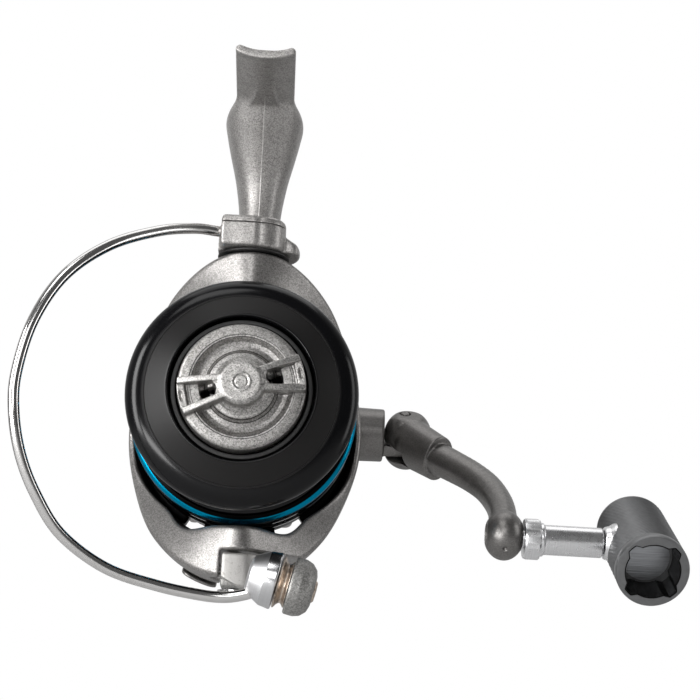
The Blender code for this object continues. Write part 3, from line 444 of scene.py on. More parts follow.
MATERIALS = {}
for make in (
    make_silver_paint, make_rotor_paint, make_stem_paint, make_textured_grey, make_gunmetal,
    make_cast_silver, make_gloss_black, make_blue_anodised, make_steel, make_bright_aluminium,
    make_cone_aluminium, make_champagne, make_knurled_grey, make_hollow_shade_black, make_knob_floor,
    make_brass, make_zinc, make_fibre, make_rubber, make_moulded_black,
):
    made_surface = make()
    MATERIALS[made_surface.name] = made_surface.material


# ---- pieces


def finished(name, mesh, material, body, replaces, sharp):
    mesh.materials.append(MATERIALS[material])
    mesh.shade_smooth()
    if sharp:
        mesh.set_sharp_from_angle(angle=math.radians(sharp))
    obj = bpy.data.objects.new(name, mesh)
    bpy.context.scene.collection.objects.link(obj)
    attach(obj, body)
    if replaces:
        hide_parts(*replaces)


def from_bmesh(name, bm, material, body, replaces=(), sharp=32):
    """Make a piece from a mesh in spool millimetres."""
    bmesh.ops.recalc_face_normals(bm, faces=bm.faces)
    bm.transform(Matrix.Scale(MM, 4) @ Matrix.Translation(-Vector(SEAT)))
    mesh = bpy.data.meshes.new(name)
    bm.to_mesh(mesh)
    bm.free()
    finished(name, mesh, material, body, replaces, sharp)


def from_arrays(name, points, faces, material, body, replaces=()):
    mesh = bpy.data.meshes.new(name)
    mesh.from_pydata(((np.asarray(points) - SEAT) * MM).tolist(), [], faces.tolist())
    mesh.update()
    finished(name, mesh, material, body, replaces, sharp=0)


def place_at(origin, z_axis, x_axis):
    z = Vector(z_axis).normalized()
    y = z.cross(x_axis).normalized()
    x = y.cross(z)
    return Matrix.Translation(origin) @ Matrix((x, y, z)).transposed().to_4x4()


CORNER_STEPS = 3
NEARLY_STRAIGHT = math.radians(165)
TINY = 1e-6


def rounded(profile, radius, closed=True):
    """Return the profile with its corners replaced by short curves."""
    points = []
    count = len(profile)
    for i, corner in enumerate(profile):
        here = Vector(corner)
        if not closed and i in (0, count - 1):
            points.append(tuple(here))
            continue
        before, after = Vector(profile[i - 1]), Vector(profile[(i + 1) % count])
        back, ahead = before - here, after - here
        too_short = min(back.length, ahead.length) < TINY
        if here.x == 0 or too_short or back.angle(ahead) > NEARLY_STRAIGHT:
            points.append(tuple(here))
            continue
        reach = min(radius, back.length * 0.45, ahead.length * 0.45)
        start, end = here + back.normalized() * reach, here + ahead.normalized() * reach
        for k in range(CORNER_STEPS + 1):
            t = k / CORNER_STEPS
            point = start * (1 - t) ** 2 + here * (2 * t * (1 - t)) + end * t ** 2
            points.append((max(0.0, point.x), point.y))
    return points


def round_loop(place, radius_at, height, sides):
    """Return a loop about place's Z axis, whose radius is a function of the turn."""
    loop = []
    for i in range(sides):
        turn = math.tau * i / sides
        radius = radius_at(turn)
        loop.append(place @ Vector((radius * math.cos(turn), radius * math.sin(turn), height)))
    return loop


def plain(radius):
    return lambda turn: radius


def bridge(bm, first, second):
    """Join two rings of vertices, either of which may be a single point."""
    count = max(len(first), len(second))
    for i in range(count):
        j = (i + 1) % count
        if len(first) == 1:
            bm.faces.new((first[0], second[i], second[j]))
        elif len(second) == 1:
            bm.faces.new((first[i], first[j], second[0]))
        else:
            bm.faces.new((first[i], first[j], second[j], second[i]))


def lofted(loops, closed=False):
    """Skin a row of loops. A closed row ends where it starts, and an open row is capped."""
    bm = bmesh.new()
    rings = [[bm.verts.new(point) for point in loop] for loop in loops]
    for first, second in zip(rings, rings[1:] + (rings[:1] if closed else [])):
        if len(first) + len(second) > 2:
            bridge(bm, first, second)
    if not closed:
        bm.faces.new(rings[0])
        bm.faces.new(rings[-1])
    return bm


def turned(profile, place, sides):
    """Turn an outline of (radius, height) about place's Z axis."""
    return lofted([round_loop(place, plain(radius), height, sides if radius > TINY else 1)
                   for radius, height in profile], closed=True)


def lathe(name, outline, place, sides, corner, material, body, replaces=(), closed=True,
          sharp=32):
    """Make a piece by turning an outline whose corners are rounded by the radius corner."""
    shape = turned(rounded(outline, corner, closed), place, sides)
    from_bmesh(name, shape, material, body, replaces, sharp)


def smooth_path(points, steps):
    points = [Vector(p) for p in points]
    ends = [points[0] * 2 - points[1]] + points + [points[-1] * 2 - points[-2]]
    path = []
    for a, b, c, d in zip(ends, ends[1:], ends[2:], ends[3:]):
        for i in range(steps):
            t = i / steps
            path.append(0.5 * (2 * b + (c - a) * t + (2 * a - 5 * b + 4 * c - d) * t * t
                               + (3 * b - a - 3 * c + d) * t ** 3))
    path.append(points[-1])
    return path


def swept(path, radius, sides):
    """Sweep a circle along a path."""
    loops = []
    side = Z_AXIS
    for i, point in enumerate(path):
        ahead = (path[min(i + 1, len(path) - 1)] - path[max(i - 1, 0)]).normalized()
        side = (side - ahead * side.dot(ahead)).normalized()
        other = ahead.cross(side)
        turns = [math.tau * k / sides for k in range(sides)]
        loops.append([point + (side * math.cos(turn) + other * math.sin(turn)) * radius
                      for turn in turns])
    return lofted(loops)


# ---- shapes from distance fields


CORNERS = [(i, j, k) for i in (0, 1) for j in (0, 1) for k in (0, 1)]
EDGES = [(a, b) for a in range(8) for b in range(a + 1, 8)
         if sum(abs(CORNERS[a][n] - CORNERS[b][n]) for n in range(3)) == 1]


def field_surface(field, low, high, step):
    """Return the points and quads of the surface where a field of distances is zero."""
    low = np.array(low, float)
    counts = np.ceil((np.array(high, float) - low) / step).astype(int) + 1
    axes = [low[n] + step * np.arange(counts[n]) for n in range(3)]
    grid = np.meshgrid(*axes, indexing="ij", sparse=True)
    value = np.broadcast_to(field(*grid), counts)
    inside = value < 0
    last = counts - 1
    filled = sum(inside[i:last[0] + i, j:last[1] + j, k:last[2] + k].astype(np.int8)
                 for i, j, k in CORNERS)
    cells = np.argwhere((filled > 0) & (filled < 8))
    index = np.full(filled.shape, -1, np.int64)
    index[tuple(cells.T)] = np.arange(len(cells))
    corner = [value[tuple((cells + offset).T)] for offset in CORNERS]
    total, hits = np.zeros((len(cells), 3)), np.zeros(len(cells))
    for a, b in EDGES:
        crossed = (corner[a] < 0) != (corner[b] < 0)
        share = np.where(crossed, corner[a] / np.where(crossed, corner[a] - corner[b], 1), 0)
        point = np.array(CORNERS[a]) + np.outer(share, np.array(CORNERS[b]) - np.array(CORNERS[a]))
        total += np.where(crossed[:, None], point, 0)
        hits += crossed
    points = low + (cells + total / hits[:, None]) * step
    for _ in range(2):
        here = field(*points.T)
        slope = np.stack([
            (field(*(points + np.eye(3)[n] * 0.05).T) - here) / 0.05 for n in range(3)
        ], 1)
        move = -here[:, None] * slope / np.maximum((slope ** 2).sum(1), 0.2)[:, None]
        points = points + np.clip(move, -0.4 * step, 0.4 * step)
    quads = []
    for n in range(3):
        first = [slice(1, -1)] * 3
        second = [slice(1, -1)] * 3
        first[n], second[n] = slice(0, -1), slice(1, None)
        start = inside[tuple(first)]
        edges = np.argwhere(start != inside[tuple(second)])
        turned_in = start[tuple(edges.T)]
        base = edges + 1
        base[:, n] -= 1
        u, v = np.eye(3, dtype=int)[(n + 1) % 3], np.eye(3, dtype=int)[(n + 2) % 3]
        around = [index[tuple((base - back).T)] for back in (u + v, v, 0 * u, u)]
        quad = np.stack(around, 1)
        quad[~turned_in] = quad[~turned_in][:, ::-1]
        quads.append(quad)
    return points, np.concatenate(quads)


def span(*offsets):
    """Return the length of a vector from its parts."""
    return np.sqrt(sum(offset * offset for offset in offsets))


def from_pivot(x, y):
    """Return the distance from the bail's pivot axis."""
    return span(x, y - BAIL_Y)


def from_drive(y, z):
    """Return the distance from the axis of the drive gear."""
    return span(y - DRIVE.y, z - DRIVE.z)


def soft_min(a, b, radius):
    share = np.clip(0.5 + 0.5 * (b - a) / radius, 0, 1)
    return b + (a - b) * share - radius * share * (1 - share)


def soft_max(a, b, radius):
    return -soft_min(-a, -b, radius)


def polygon_field(px, py, outline):
    """Return the signed distance to a closed outline in a plane."""
    nearest, sign = None, None
    for (ax, ay), (bx, by) in zip(outline, outline[1:] + outline[:1]):
        ex, ey, wx, wy = bx - ax, by - ay, px - ax, py - ay
        t = np.clip((wx * ex + wy * ey) / (ex * ex + ey * ey), 0, 1)
        gap = (wx - ex * t) ** 2 + (wy - ey * t) ** 2
        nearest = gap if nearest is None else np.minimum(nearest, gap)
        tests = (py >= ay, py < by, ex * wy > ey * wx)
        flip = (tests[0] & tests[1] & tests[2]) | (~tests[0] & ~tests[1] & ~tests[2])
        sign = np.where(flip, -1, 1) * (1 if sign is None else sign)
    return sign * np.sqrt(nearest)


def rod(x, y, z, a, b, ra, rb):
    """Return the distance to a round rod from a to b whose radius changes evenly."""
    ax = [b[n] - a[n] for n in range(3)]
    length = sum(v * v for v in ax)
    t = np.clip(((x - a[0]) * ax[0] + (y - a[1]) * ax[1] + (z - a[2]) * ax[2]) / length, 0, 1)
    gap = span(x - a[0] - ax[0] * t, y - a[1] - ax[1] * t, z - a[2] - ax[2] * t)
    return gap - (ra + (rb - ra) * t)


def rods(x, y, z, points, radii, blend):
    found = None
    for a, b, ra, rb in zip(points, points[1:], radii, radii[1:]):
        part = rod(x, y, z, a, b, ra, rb)
        found = part if found is None else soft_min(found, part, blend)
    return found


def drum(radius, height, low, high, round_off, size):
    """Return the distance to a cylinder, from the distance to its axis and the height along it."""
    across = radius - (size - round_off)
    up = np.maximum(low + round_off - height, height - high + round_off)
    outer = span(np.maximum(across, 0), np.maximum(up, 0))
    return np.minimum(np.maximum(across, up), 0) + outer - round_off


def block(x, y, z, centre, half, round_off):
    """Return the distance to a box with rounded edges."""
    parts = [np.abs(v - c) - (h - round_off) for v, c, h in zip((x, y, z), centre, half)]
    outer = span(*(np.maximum(p, 0) for p in parts))
    return outer + np.minimum(np.maximum(np.maximum(parts[0], parts[1]), parts[2]), 0) - round_off


def local(place, x, y, z):
    """Return coordinates in the frame of place."""
    inverse = np.array(place.inverted())
    return [row[0] * x + row[1] * y + row[2] * z + row[3] for row in inverse[:3]]


def moulded(name, field, low, high, step, material, body, replaces=()):
    points, quads = field_surface(field, low, high, step)
    return from_arrays(name, points, quads, material, body, replaces)


# ---- spool and drag


def build_spool():
    axis = place_at((0, 0, 0), Y_AXIS, X_AXIS)
    spool = [
        (15.2, -4.4), (15.35, -4.9), (15.6, -5.0), (15.8, -4.9), (20.1, -2.06), (20.2, -2.0),
        (20.2, -1.9), (20.2, 3.3), (22.0, 3.3), (22.0, 4.6), (18.2, 6.0), (17.8, 7.0),
        (17.8, 16.6), (18.4, 17.3), (22.9, 18.4),
        (22.9, 21.0), (23.9, 21.4), (23.9, 21.9), (24.5, 22.0),
        (24.55, 28.4), (24.3, 28.6), (24.3, 29.2), (24.55, 29.4), (24.55, 35.5), (24.2, 35.95),
        (23.4, 35.95), (23.2, 22.5), (22.4, 20.6), (16.2, 18.6), (16.2, 12.5), (6.0, 12.0),
        (6.0, 20.0), (3.2, 20.0), (3.2, 9.3), (11.5, 9.3), (11.5, 2.0), (15.2, 2.0),
    ]
    lathe("spool_shell", spool, axis, 192, 0.2, "gloss_black", "spool", ["spool"])
    lip = [(20.24, -1.9), (20.26, -1.98), (20.36, -1.97), (21.2, -1.85), (22.1, -1.55),
           (22.9, -1.1), (23.6, -0.5), (24.1, 0.15), (24.38, 0.8), (24.47, 1.4), (24.42, 2.0),
           (24.2, 2.5), (23.8, 2.85), (23.3, 3.0), (20.24, 3.0)]
    lathe("spool_front_lip", lip, axis, 192, 0.3, "gloss_black", "spool",
          ["spool_lip"])
    ring = [(23.2, 18.5), (24.3, 18.9), (24.86, 19.5), (24.86, 21.3), (24.7, 21.55), (24.15, 21.6),
            (24.15, 21.1), (23.2, 20.8)]
    lathe("blue_skirt_ring", ring, axis, 192, 0.12, "blue_anodised", "spool",
          ["skirt_ring"])
    seal = [(13.75, -3.5), (14.75, -3.5), (14.78, 1.4), (12.0, 1.4), (12.0, 0.4), (13.7, 0.0)]
    lathe("drag_knob_seal", seal, axis, 128, 0.3, "rubber", "drag", ["drag_seal"])


KNOB_TURN = math.radians(14.5)


def drag_knob_field(x, y, z):
    """The cast knob: a dished disc, a hub and a forked bar across it."""
    w = -y
    radius = span(x, z)
    disc = [
        (0.0, 8.3), (4.6, 8.2), (5.6, 7.5), (5.9, 7.15), (6.7, 6.95), (7.05, 6.75), (7.2, 6.2),
        (7.7, 5.6),
        (8.7, 5.3), (9.6, 5.5), (10.3, 6.15), (10.6, 6.45), (12.6, 6.2), (13.1, 5.9), (13.3, 5.3),
        (13.3, 1.6), (13.0, 1.2), (11.6, 1.2), (11.6, 3.5), (5.4, 3.6), (5.4, 5.0), (2.6, 5.0),
        (2.6, 7.8), (0.0, 7.8),
    ]
    found = polygon_field(radius, w, disc)
    hub = drum(radius, w, 7.0, 11.05, 1.1, 4.75)
    found = soft_min(found, hub, 0.8)
    bar = x * math.cos(KNOB_TURN) + z * math.sin(KNOB_TURN)
    a = np.abs(bar)
    b = -x * math.sin(KNOB_TURN) + z * math.cos(KNOB_TURN)
    b = np.where(bar < 0, -b, b)
    along = np.clip((a - 3.5) / 9.3, 0, 1)
    middle = 1.75 + 1.5 * along
    top = 10.75 - 1.9 * along ** 1.5
    prong = soft_max(np.abs(np.abs(b) - middle) - (0.62 + 0.1 * along), w - top, 0.35)
    prong = soft_max(prong, np.maximum(3.0 - a, radius - 13.15), 0.3)
    web = block(a, b, w, (4.3, 0.0, 8.6), (1.25, 2.0, 1.85), 0.4)
    prong = np.maximum(soft_min(prong, web, 0.4), 5.4 - w)
    bridge_pad = block(a, b, w, (10.3, 0.0, 4.2), (1.8, 2.4, 2.9), 0.3)
    end_pad = block(a, b, w, (12.3, 0.0, 5.0), (0.9, 2.8, 2.9), 0.3)
    end_pad = soft_max(end_pad, radius - 13.2, 0.2)
    found = soft_min(found, prong, 0.4)
    found = soft_min(found, soft_min(bridge_pad, end_pad, 0.3), 0.25)
    hole = block(a, b, w, (6.9, 0.0, 8.0), (1.75, 0.85, 4.6), 0.6)
    found = soft_max(found, -hole, 0.2)
    dent = span((a - 12.45) / 0.5, b / 1.15, (w - 8.0) / 0.6) - 1
    found = soft_max(found, -dent * 0.5, 0.15)
    ridge = span(radius - 1.8, w - 10.97) - 0.2
    found = soft_min(found, ridge, 0.15)
    grooves = ((1.35, 11.1, 0.16), (7.15, 6.75, 0.2), (10.75, 6.5, 0.2), (6.3, 7.1, 0.12))
    for ring, height, size in grooves:
        groove = span(radius - ring, w - height) - size
        found = soft_max(found, -groove, 0.08)
    return found


def build_drag_knob():
    moulded("drag_knob_casting", drag_knob_field, (-13.6, -11.5, -13.6), (13.6, -0.9, 13.6), 0.17,
            "cast_silver", "drag", ["drag_knob"])


# ---- rotor


ROTOR_HALF_WIDTH = 27.3
COVER_LIFT = 0.9
PIVOT_BORE = 1.9


def arm_height(side, y):
    """Return how far an arm's outside is from the spool axis: side 1 is the upper arm."""
    tip, root = (35.4, 29.0) if side > 0 else (37.4, 30.0)
    t = np.clip((ROTOR_REAR - y) / 27.0, 0, 1)
    return root + (tip - root) * t * t * (3 - 2 * t)


def rotor_field(x, y, z):
    radius = span(x, z)
    upper = z > 0
    height = np.where(upper, arm_height(1, y), arm_height(-1, y)) - 0.1
    share = span(x / ROTOR_HALF_WIDTH, z / height)
    slope = span(x / ROTOR_HALF_WIDTH ** 2, z / height ** 2) + TINY
    outer = share * (share - 1) / slope
    turn = np.arctan2(np.abs(x), np.abs(z))
    wave = 2.3 * np.exp(-((turn - math.radians(23)) / math.radians(9)) ** 2)
    wave = np.where(upper, 0.0, wave * np.clip((44.0 - y) / 14.0, 0, 1))
    narrow = 1.9 * np.clip((y - 44.0) / 9.5, 0, 1)
    inner = (26.0 + wave - narrow) - radius
    bulge = np.where(upper, 0.0, 1.2 * np.exp(-((x - 2.0) / 4.0) ** 2))
    dip = np.clip(np.sin(turn) / math.sin(math.radians(78)), 0, 1.2) ** 1.6
    front = (13.1 - bulge + 33.0 * dip - y) * 0.62
    arms = soft_max(soft_max(outer, inner, 0.5), soft_max(front, y - 53.0, 0.3), 1.1)
    cup = [(20.4, 33.0), (22.4, 33.0), (22.4, 49.4), (26.2, 49.8), (26.8, 50.4), (26.8, 52.9),
           (26.2, 53.45), (20.4, 53.45), (20.4, 41.4), (8.0, 41.4), (8.0, 44.0), (3.8, 44.0),
           (3.8, 38.6), (20.4, 38.6)]
    found = soft_min(arms, polygon_field(radius, y, cup), 0.8)
    for middle, half in ((-25.5, 5.0), (28.5, 8.0)):
        offset = np.abs(np.arctan2(x, np.abs(z)) - math.radians(middle)) - math.radians(half)
        window = np.maximum(np.maximum(offset * radius, 22.9 - radius), radius - 25.7)
        found = soft_max(found, -np.maximum(window, 46.5 - y), 0.4)
    pivot = from_pivot(x, y)
    hub_room = np.maximum(drum(pivot, z, -50.0, -31.3, 0.2, 8.8), -2.8 - x)
    hub_room = soft_min(hub_room, drum(pivot, z, -50.0, -33.0, 0.2, 4.7), 0.2)
    exit_room = block(x, y, z, (6.2, 17.0, -41.0), (8.8, 12.0, 8.0), 0.6)
    found = soft_max(found, -soft_min(hub_room, exit_room, 0.4), 0.5)
    pivot_turn = np.abs(np.arctan2(y - BAIL_Y, x) - math.radians(8)) - math.radians(101)
    roller_room = np.maximum(np.maximum(z + 31.2, pivot - 26.4),
                             np.maximum(7.0 - pivot, pivot_turn * pivot))
    found = soft_max(found, -roller_room, 0.5)
    top_flat = drum(pivot, z, 34.6, 60.0, 0.2, 8.3)
    found = soft_max(found, -top_flat, 0.3)
    return np.maximum(found, PIVOT_BORE - pivot)


def build_rotor():
    moulded("rotor_casting", rotor_field, (-27.8, 11.4, -38.0), (27.8, 54.0, 36.0), 0.42,
            "rotor_paint", "rotor", ["rotor"])
    build_arm_cover("upper_arm_cover", 1, 0.0, 7.9)
    build_arm_cover("lower_arm_cover", -1, -7.7, 3.9)
    pivot = place_at((0, BAIL_Y, 0), Z_AXIS, X_AXIS)
    bush = [(1.9, 34.75), (8.0, 34.75), (8.0, 35.1), (7.4, 35.35), (1.9, 35.35)]
    lathe("bail_pivot_bush", bush, pivot, 64, 0.2, "rubber", "rotor", ["bail_bush"])


def build_arm_cover(name, side, centre, half_width):
    """A thin moulded cover with rounded corners on the outside of a rotor arm."""
    def field(x, y, z):
        height = arm_height(side, y)
        share = span(x / (27.4 + COVER_LIFT), z / (height + COVER_LIFT))
        shell = np.abs((share - 1) * height) - 0.4
        edge = block(x, y, 0 * x, (centre, 40.0, 0), (half_width, 9.9, 30.0), 2.0)
        return np.maximum(soft_max(shell, edge, 0.4), -side * z)
    low, high = sorted((side * 26.0, side * 39.0))
    moulded(name + "_shell", field, (centre - 9, 29.6, low), (centre + 9, 50.4, high), 0.3,
            "gunmetal", "rotor", [name])


# ---- bail


BAIL_WIRE_RADIUS = 1.19
BAIL_PATH = [
    (-5.2, 16.2, 39.3), (-8.75, 14.5, 39.2), (-13.2, 12.0, 38.7), (-20.6, 6.5, 35.9),
    (-30.0, -0.5, 30.0),
    (-38.2, -5.0, 21.6), (-43.4, -7.2, 11.1), (-45.7, -8.0, -0.2), (-45.5, -7.8, -8.2),
    (-43.7, -6.2, -16.4), (-40.3, -3.8, -24.0), (-34.9, 0.0, -31.6), (-25.7, 4.0, -37.5),
    (-15.1, 6.4, -40.3), (-6.0, 7.9, -41.6), (-1.0, 8.35, -41.75), (2.6, 8.4, -41.1), (5.8, 8.5, -40.0),
]


def holder_field(x, y, z):
    """A cast block round the pivot, flat where the wire goes in and stepped at the other end."""
    plan = block(x, y, 0 * x, (-0.2, 20.0, 0), (7.1, 7.4, 30.0), 5.2)
    square = block(x, y, 0 * x, (-3.4, 17.6, 0), (4.0, 5.0, 30.0), 0.8)
    plan = soft_min(plan, square, 1.0)
    found = soft_max(plan, np.abs(z - 39.25) - 3.75, 1.5)
    slant = 41.4 - 0.62 * np.maximum(x - 4.0, 0)
    step = span(x - 0.7, y - 20.6) - 9.6
    step = soft_max(step, np.maximum(35.6 - z, z - slant), 0.8)
    step = soft_max(step, 16.8 - y, 1.0)
    found = soft_min(found, step, 0.4)
    groove = np.maximum(np.abs(z - 41.2) - 0.09, y - 16.0)
    found = soft_max(found, -groove, 0.1)
    bore = np.where(z > 41.5, 3.35, PIVOT_BORE)
    return np.maximum(found, bore - from_pivot(x, y))


def bail_arm_field(x, y, z):
    """The lever from the lower pivot round to the boss that holds the roller."""
    pivot = from_pivot(x, y)
    hub = drum(pivot, z, -37.3, -33.6, 0.5, 4.1)
    nose = block(x, y, z, (2.8, 16.9, -35.4), (5.2, 3.7, 3.65), 0.7)
    chamfer = 0.45 * (-x - 2.3) + 0.89 * (-37.0 - z)
    nose = soft_max(soft_max(nose, chamfer, 0.3), pivot - 7.0, 0.4)
    backing = soft_max(block(x, y, z, (2.8, 17.8, -35.4), (5.2, 3.2, 3.6), 0.6), pivot - 7.0, 0.4)
    hub = soft_min(soft_min(hub, nose, 0.4), backing, 0.15)
    route = [(4.4, 19.8, -36.4), (10.2, 18.6, -37.2), (15.2, 14.8, -38.6), (15.4, 9.4, -39.2)]
    web = rods(x, y, z, route, [2.4, 2.3, 2.3, 2.3], 0.8)
    place = place_at(ROLLER_CENTRE, ROLLER_AXIS, Y_AXIS)
    u, v, w = local(place, x, y, z)
    from_axis = span(u, v)
    dome = [(0, 1.5), (5.6, 1.5), (5.75, 1.7), (5.75, 3.4), (5.3, 4.7), (4.3, 5.7), (3.0, 6.1),
            (0, 6.2)]
    boss = polygon_field(from_axis, w, dome) - 0.3
    found = soft_min(soft_min(hub, web, 1.2), boss, 1.0)
    spring_room = drum(pivot, z, -37.4, -30.0, 0.2, 5.0)
    found = soft_max(found, -spring_room, 0.2)
    found = np.maximum(found, PIVOT_BORE - pivot)
    recess = drum(from_axis, w, 5.9, 9.0, 0.2, 2.7)
    found = soft_max(found, -recess, 0.2)
    roller_room = drum(from_axis, w, -3.0, 1.25, 0.1, 6.0)
    found = np.maximum(found, -roller_room)
    return np.maximum(found, 1.3 - from_axis)


def build_bail():
    wire = swept(smooth_path(BAIL_PATH, 8), BAIL_WIRE_RADIUS, 28)
    from_bmesh("bail_wire_rod", wire, "steel", "bail", ["bail_wire"])
    moulded("bail_holder_casting", holder_field, (-8.0, 10.6, 35.0), (11.2, 30.8, 43.6), 0.2,
            "silver_paint", "bail", ["bail_holder"])
    moulded("bail_arm_casting", bail_arm_field, (-6.4, 2.0, -45.3), (18.4, 26.4, -31.3), 0.24,
            "textured_grey", "bail", ["bail_arm"])

    boss = place_at(ROLLER_CENTRE, ROLLER_AXIS, Y_AXIS)
    cone = [(1.3, -7.75), (2.9, -7.75), (4.05, -7.2), (5.66, -4.2), (5.74, -4.05), (6.0, -1.8),
            (5.85, -1.5), (5.3, -1.42), (1.3, -1.42)]
    lathe("bail_cone_turned", cone, boss, 128, 0.12, "cone_aluminium", "bail",
          ["bail_cone"], sharp=20)
    roller = [(2.1, -1.25), (5.3, -1.25), (5.5, -1.05), (5.3, -0.85), (4.6, -0.45), (4.2, 0.0),
              (4.15, 0.3),
              (4.5, 0.7), (4.9, 0.95), (4.9, 1.15), (2.1, 1.15)]
    lathe("line_roller_turned", roller, boss, 96, 0.15, "champagne", "roller",
          ["line_roller"])
    screw = [(0, -3.2), (1.0, -3.2), (1.0, 6.0), (2.3, 6.0), (2.35, 6.5), (1.9, 6.85), (0, 6.95)]

    def screw_field(x, y, z):
        u, v, w = local(boss, x, y, z)
        head = polygon_field(span(u, v), w, screw)
        slot = np.maximum(np.abs(u * 0.94 + v * 0.34) - 0.45, 6.3 - w)
        return soft_max(head, -slot, 0.1)
    moulded("roller_screw_slotted", screw_field, (7.0, 5.6, -43.2), (20.0, 11.4, -35.0), 0.17,
            "champagne", "bail", ["roller_screw"])


# ---- case, stem and foot


FOOT_MIDDLE, FOOT_TOP = 41.0, 80.0
FOOT_HALF_LENGTH = 31.0
FOOT_HALF_WIDTH, FOOT_FRONT_HALF_WIDTH = 6.1, 6.75
TROUGH_RADIUS = 12.0
# Each row is a section of the stem: its centre along Y, height, half width and half depth.
STEM = [
    (70.0, 14.0, 9.0, 14.0), (68.6, 25.0, 8.4, 13.4), (65.0, 32.5, 6.9, 10.8), (56.5, 43.0, 5.05, 8.8),
    (50.5, 53.0, 4.95, 8.0), (47.3, 61.0, 6.1, 8.4), (44.2, 67.5, 7.8, 9.6), (42.4, 71.6, 8.8, 11.2),
    (41.2, 74.6, 9.25, 12.6), (40.4, 77.0, 8.0, 14.5), (40.0, 79.0, 5.4, 16.0),
]


def stem_table():
    """Return the stem's sections, closely spaced: height, centre, half width and half depth."""
    path = smooth_path([(s[0], s[2], s[1]) for s in STEM], 8)
    depth = smooth_path([(s[3], 0, s[1]) for s in STEM], 8)
    rows = [(p.z, p.x, p.y, d.x) for p, d in zip(path, depth)]
    return np.array(rows).T


STEM_ROWS = stem_table()


def stem_field(x, y, z):
    centre = np.interp(z, STEM_ROWS[0], STEM_ROWS[1])
    half_x = np.interp(z, STEM_ROWS[0], STEM_ROWS[2])
    half_y = np.interp(z, STEM_ROWS[0], STEM_ROWS[3])
    power = 2.3
    share = (np.abs(x / half_x) ** power + np.abs((y - centre) / half_y) ** power) ** (1 / power)
    found = np.maximum((share - 1) * half_x, np.maximum(z - 78.4, 15.0 - z))
    along = np.clip(np.abs(y - FOOT_MIDDLE) / FOOT_HALF_LENGTH, 0, 1.2)
    half = np.where(y < FOOT_MIDDLE, FOOT_FRONT_HALF_WIDTH, FOOT_HALF_WIDTH * (1 - 0.12 * along ** 2))
    thick = 2.1 + 3.2 * (1 - np.minimum(along, 1) ** 1.4)
    beside = np.maximum(0.0, np.abs(x) - half / 7)
    trough = TROUGH_RADIUS - np.sqrt(np.maximum(TROUGH_RADIUS ** 2 - beside ** 2, 1.0))
    top = np.minimum(FOOT_TOP + trough, 81.1) - 0.35 * np.clip(np.abs(x) - half + 1.4, 0, 2) ** 2
    bottom = FOOT_TOP - thick + 1.5 * (x / half) ** 2
    outline = soft_max(np.abs(x) - half, np.maximum(7.6 - y, y - 71.9), 0.5)
    plate = soft_max(np.maximum(z - top, bottom - z), outline, 0.5)
    reach = np.clip((y - 12.0) / 22.0, 0, 1)
    keel_half = 1.3 + 4.6 * reach ** 2.4
    keel_depth = 78.6 - 0.4 - 4.4 * reach ** 1.1
    keel = soft_max(np.abs(x) - keel_half, np.maximum(keel_depth - z, z - 79.0), 0.4)
    keel = np.maximum(keel, np.maximum(12.2 - y, y - 40.0))
    return soft_min(soft_min(found, plate, 0.9), keel, 0.4)


def belt_distance(y, z):
    """Return the distance to the case's outline round its two circles."""
    (ay, az, ar), (by, bz, br) = (DRIVE.y, DRIVE.z, 20.0), (91.0, 0.0, 15.5)
    length = math.hypot(by - ay, bz - az)
    uy, uz = (by - ay) / length, (bz - az) / length
    along = (y - ay) * uy + (z - az) * uz
    aside = np.abs(-(y - ay) * uz + (z - az) * uy)
    slope = (ar - br) / length
    lift = math.sqrt(1 - slope * slope)
    t = np.clip((along + aside * slope / lift) / length, 0, 1)
    return span(along - t * length, aside) - (ar + (br - ar) * t)


def case_field(x, y, z):
    belt = belt_distance(y, z)
    radius = span(x, z)
    drive = from_drive(y, z)
    found = soft_max(belt, np.maximum(-10.95 - x, x - 12.45), 2.2)
    collar = drum(radius, y, 45.65, 59.0, 0.6, 18.55)
    found = soft_min(found, collar, 1.5)
    boss = drum(drive, x, 5.0, 15.95, 0.6, 9.0)
    found = soft_min(found, boss, 1.0)
    cavity = np.maximum(belt + 2.2, x - 10.3)
    front = [(-1.0, 40.0), (16.2, 40.0), (16.2, 50.2), (9.2, 50.2), (9.2, 54.6), (5.2, 54.6),
             (5.2, 70.0), (-1.0, 70.0)]
    found = np.maximum(found, -np.minimum(cavity, polygon_field(radius, y, front)))
    seat = np.where(x > 15.0, 5.0, 6.4) - drive
    return np.maximum(found, np.where(x > 5.0, seat, -99.0))


def cover_field(x, y, z):
    belt = belt_distance(y, z) + 0.05
    drive = from_drive(y, z)
    radius = span(x, z)
    found = soft_max(belt, np.maximum(-14.35 - x, x + 11.3), 1.4)
    step = soft_max(belt + 2.6, np.abs(x + 14.4) - 0.35, 0.2)
    found = soft_max(found, -soft_max(step, 10.6 - drive, 0.3), 0.3)
    boss = drum(drive, x, -17.35, -12.0, 0.7, 9.6)
    found = soft_min(found, boss, 0.6)
    found = soft_max(found, -drum(radius, y, 30.0, 60.4, 0.3, 18.9), 0.3)
    return np.maximum(found, np.where(x < -16.2, 4.4, 6.4) - drive)


def rear_cover_field(x, y, z):
    """A shallow dome with one ring sunk into it."""
    shape = span(x / 10.3, z / 9.8)
    found = (shape - np.sqrt(np.clip(1 - ((y - 106.7) / 5.6) ** 2, 0.02, 1))) * 8.0
    found = soft_max(found, np.maximum(106.72 - y, y - 111.35), 0.5)
    return soft_max(found, -(np.abs(span(x / 1.05, z) - 6.6) - 0.3), 0.5)


